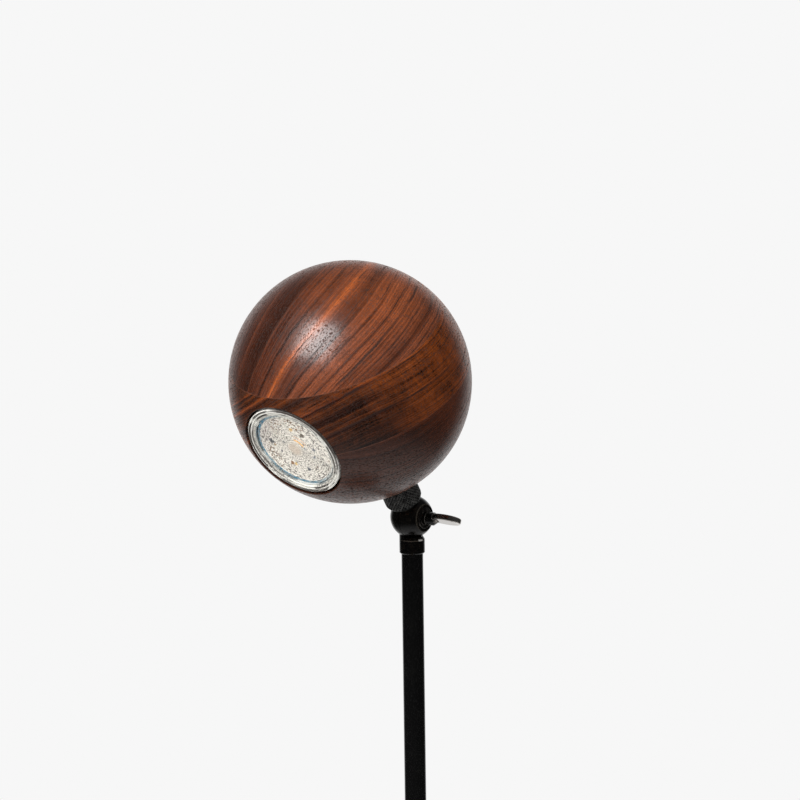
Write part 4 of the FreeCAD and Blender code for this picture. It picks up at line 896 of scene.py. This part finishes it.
# %% [markdown]
# ## Camera, floor and light
# The camera stands a metre and a half away, a little above the swivel. A large soft box in front
# and above gives the ball its one highlight, the room fills the shadows, and the pale floor runs on
# to the horizon. Near the lamp the floor is lit like any surface, so it keeps the lamp's shadow.

# %% Camera
CAMERA_TURN = 37.934        # degrees round the lamp, from its front towards its right
CAMERA_RISE = 7.491         # degrees above the level
CAMERA_ROLL = -0.792
CAMERA_DISTANCE = 1500.0
CAMERA_RIGHT = -5.729       # where the picture's middle lies, from the swivel
CAMERA_UP = 56.686
FOCAL_LENGTH = 138.68
SENSOR_WIDTH = 36.0


def add_camera():
    around, above = math.radians(CAMERA_TURN), math.radians(CAMERA_RISE)
    rolled = math.radians(CAMERA_ROLL)
    back = Vector((math.sin(around) * math.cos(above), -math.cos(around) * math.cos(above),
                   math.sin(above)))
    right = Vector((math.cos(around), math.sin(around), 0))
    up = back.cross(right)
    turned_right = right * math.cos(rolled) + up * math.sin(rolled)
    turned_up = up * math.cos(rolled) - right * math.sin(rolled)
    place = (Vector((0, 0, SWIVEL_HEIGHT)) + turned_right * CAMERA_RIGHT + turned_up * CAMERA_UP
             + back * CAMERA_DISTANCE)
    camera = bpy.data.objects.new("camera", bpy.data.cameras.new("camera"))
    camera.matrix_world = (Matrix.Translation(place * MM)
                           @ Matrix((turned_right, turned_up, back)).transposed().to_4x4())
    camera.data.lens = FOCAL_LENGTH
    camera.data.sensor_width = SENSOR_WIDTH
    camera.data.clip_end = 100.0
    bpy.context.scene.collection.objects.link(camera)
    bpy.context.scene.camera = camera
    print("camera at", [round(value) for value in place])


add_camera()
bpy.context.scene.view_settings.view_transform = "Standard"

# %% Room
WHITE = (1.0, 1.0, 1.0, 1.0)
PALE = 0.93                 # what the camera sees of the room
ROOM_LIGHT = 0.42           # what the room gives to fill the shadows
DARK_SIDE = 0.03            # what gloss shows of the room on the camera's side
CEILING = 0.06              # what gloss shows more of it overhead
TO_CAMERA = (0.615, -0.789, 0.0)
TURN_AWAY = (0.58, 1.0)     # how squarely gloss must look away from the camera to see it pale


def ray_kinds(net):
    """1 for rays from the camera, and 1 for rays that metal or glass sends on."""
    camera_ray = net.node("ShaderNodeLightPath", output="Is Camera Ray")
    glossy = net.node("ShaderNodeLightPath", output="Is Glossy Ray")
    through = net.node("ShaderNodeLightPath", output="Is Transmission Ray")
    return camera_ray, glossy.maths("MAXIMUM", through)


def room():
    world = bpy.data.worlds.new("room")
    bpy.context.scene.world = world
    world.use_nodes = True
    walls = Net(world.node_tree)
    background = walls.tree.nodes["Background"]
    background.inputs["Color"].default_value = WHITE
    direction = walls.node("ShaderNodeTexCoord", output="Generated")
    front = walls.along(direction, TO_CAMERA)
    overhead = walls.along(direction, (0, 0, 1))
    behind = walls.step(0 - front, *TURN_AWAY) * (1 - 0.7 * walls.step(overhead, 0.15, 0.6))
    mirrored = (DARK_SIDE + (PALE - DARK_SIDE) * behind
                + CEILING * walls.step(overhead, 0.2, 0.9))
    camera_ray, sent_on = ray_kinds(walls)
    light = ROOM_LIGHT * (1 - camera_ray) * (1 - sent_on)
    walls.feed(background.inputs["Strength"], light + PALE * camera_ray + mirrored * sent_on)
    print("room light", ROOM_LIGHT)


room()


# %% Soft boxes
def soft_box(name, direction, distance, size, watts, seen):
    """A square light towards a direction from the ball, with distance and size in metres."""
    lamp = bpy.data.objects.new(name, bpy.data.lights.new(name, "AREA"))
    lamp.data.shape = "SQUARE"
    lamp.data.size = size
    lamp.data.energy = watts
    towards = Vector(direction).normalized()
    place = ball_middle * MM + towards * distance
    facing = towards.to_track_quat("Z", "Y").to_matrix().to_4x4()
    lamp.matrix_world = Matrix.Translation(place) @ facing
    lamp.visible_camera = False
    lamp.visible_glossy = seen
    bpy.context.scene.collection.objects.link(lamp)
    print(name, "soft box,", watts, "watts")


soft_box("key", (-0.02, -0.73, 0.68), distance=1.2, size=0.66, watts=19.0, seen=True)
soft_box("side", (0.9, 0.1, 0.45), distance=1.6, size=1.0, watts=4.0, seen=False)
soft_box("bounce", (-0.15, -0.9, -0.22), distance=1.2, size=0.9, watts=4.0, seen=False)

# %% Floor
FLOOR_HALF = 40.0           # metres
LIT_FLOOR = (250.0, 550.0)      # from the base outwards the lit floor gives way to plain pale
NEAR_MIRROR = (60.0, 200.0)     # gloss sees a plain floor from here on,
FAR_MIRROR = (120.0, 600.0)     # and from here on one that runs into the room
MIRRORED_FLOOR = 0.6


def floor():
    mesh = bmesh.new()
    bmesh.ops.create_grid(mesh, x_segments=1, y_segments=1, size=FLOOR_HALF)
    data = bpy.data.meshes.new("floor")
    mesh.to_mesh(data)
    mesh.free()
    piece = bpy.data.objects.new("floor", data)
    bpy.context.scene.collection.objects.link(piece)
    finish = Finish("floor")
    place = finish.place()
    away = finish.distance(place)
    front = finish.along(place, TO_CAMERA)
    camera_ray, sent_on = ray_kinds(finish)
    far = finish.step(away, *LIT_FLOOR) * camera_ray
    mirrored = sent_on * finish.step(away, *NEAR_MIRROR)
    distant = DARK_SIDE + (PALE - DARK_SIDE) * finish.step((0 - front) / away, *TURN_AWAY)
    reach = finish.step(away, *FAR_MIRROR)
    strength = PALE * camera_ray + (MIRRORED_FLOOR * (1 - reach) + distant * reach) * sent_on
    finish.set(roughness=0.8, base_color=(0.8, 0.8, 0.8, 1.0))
    finish.surface.inputs["Specular IOR Level"].default_value = 0.1
    glow = finish.node("ShaderNodeEmission", {}, {"Color": WHITE, "Strength": strength})
    surface = Wire(finish, finish.surface.outputs[0])
    mixed = finish.node("ShaderNodeMixShader", {}, {0: far + mirrored, 1: surface, 2: glow})
    finish.feed(finish.tree.nodes["Material Output"].inputs["Surface"], mixed)
    data.materials.append(finish.material)
    print("floor laid")


floor()
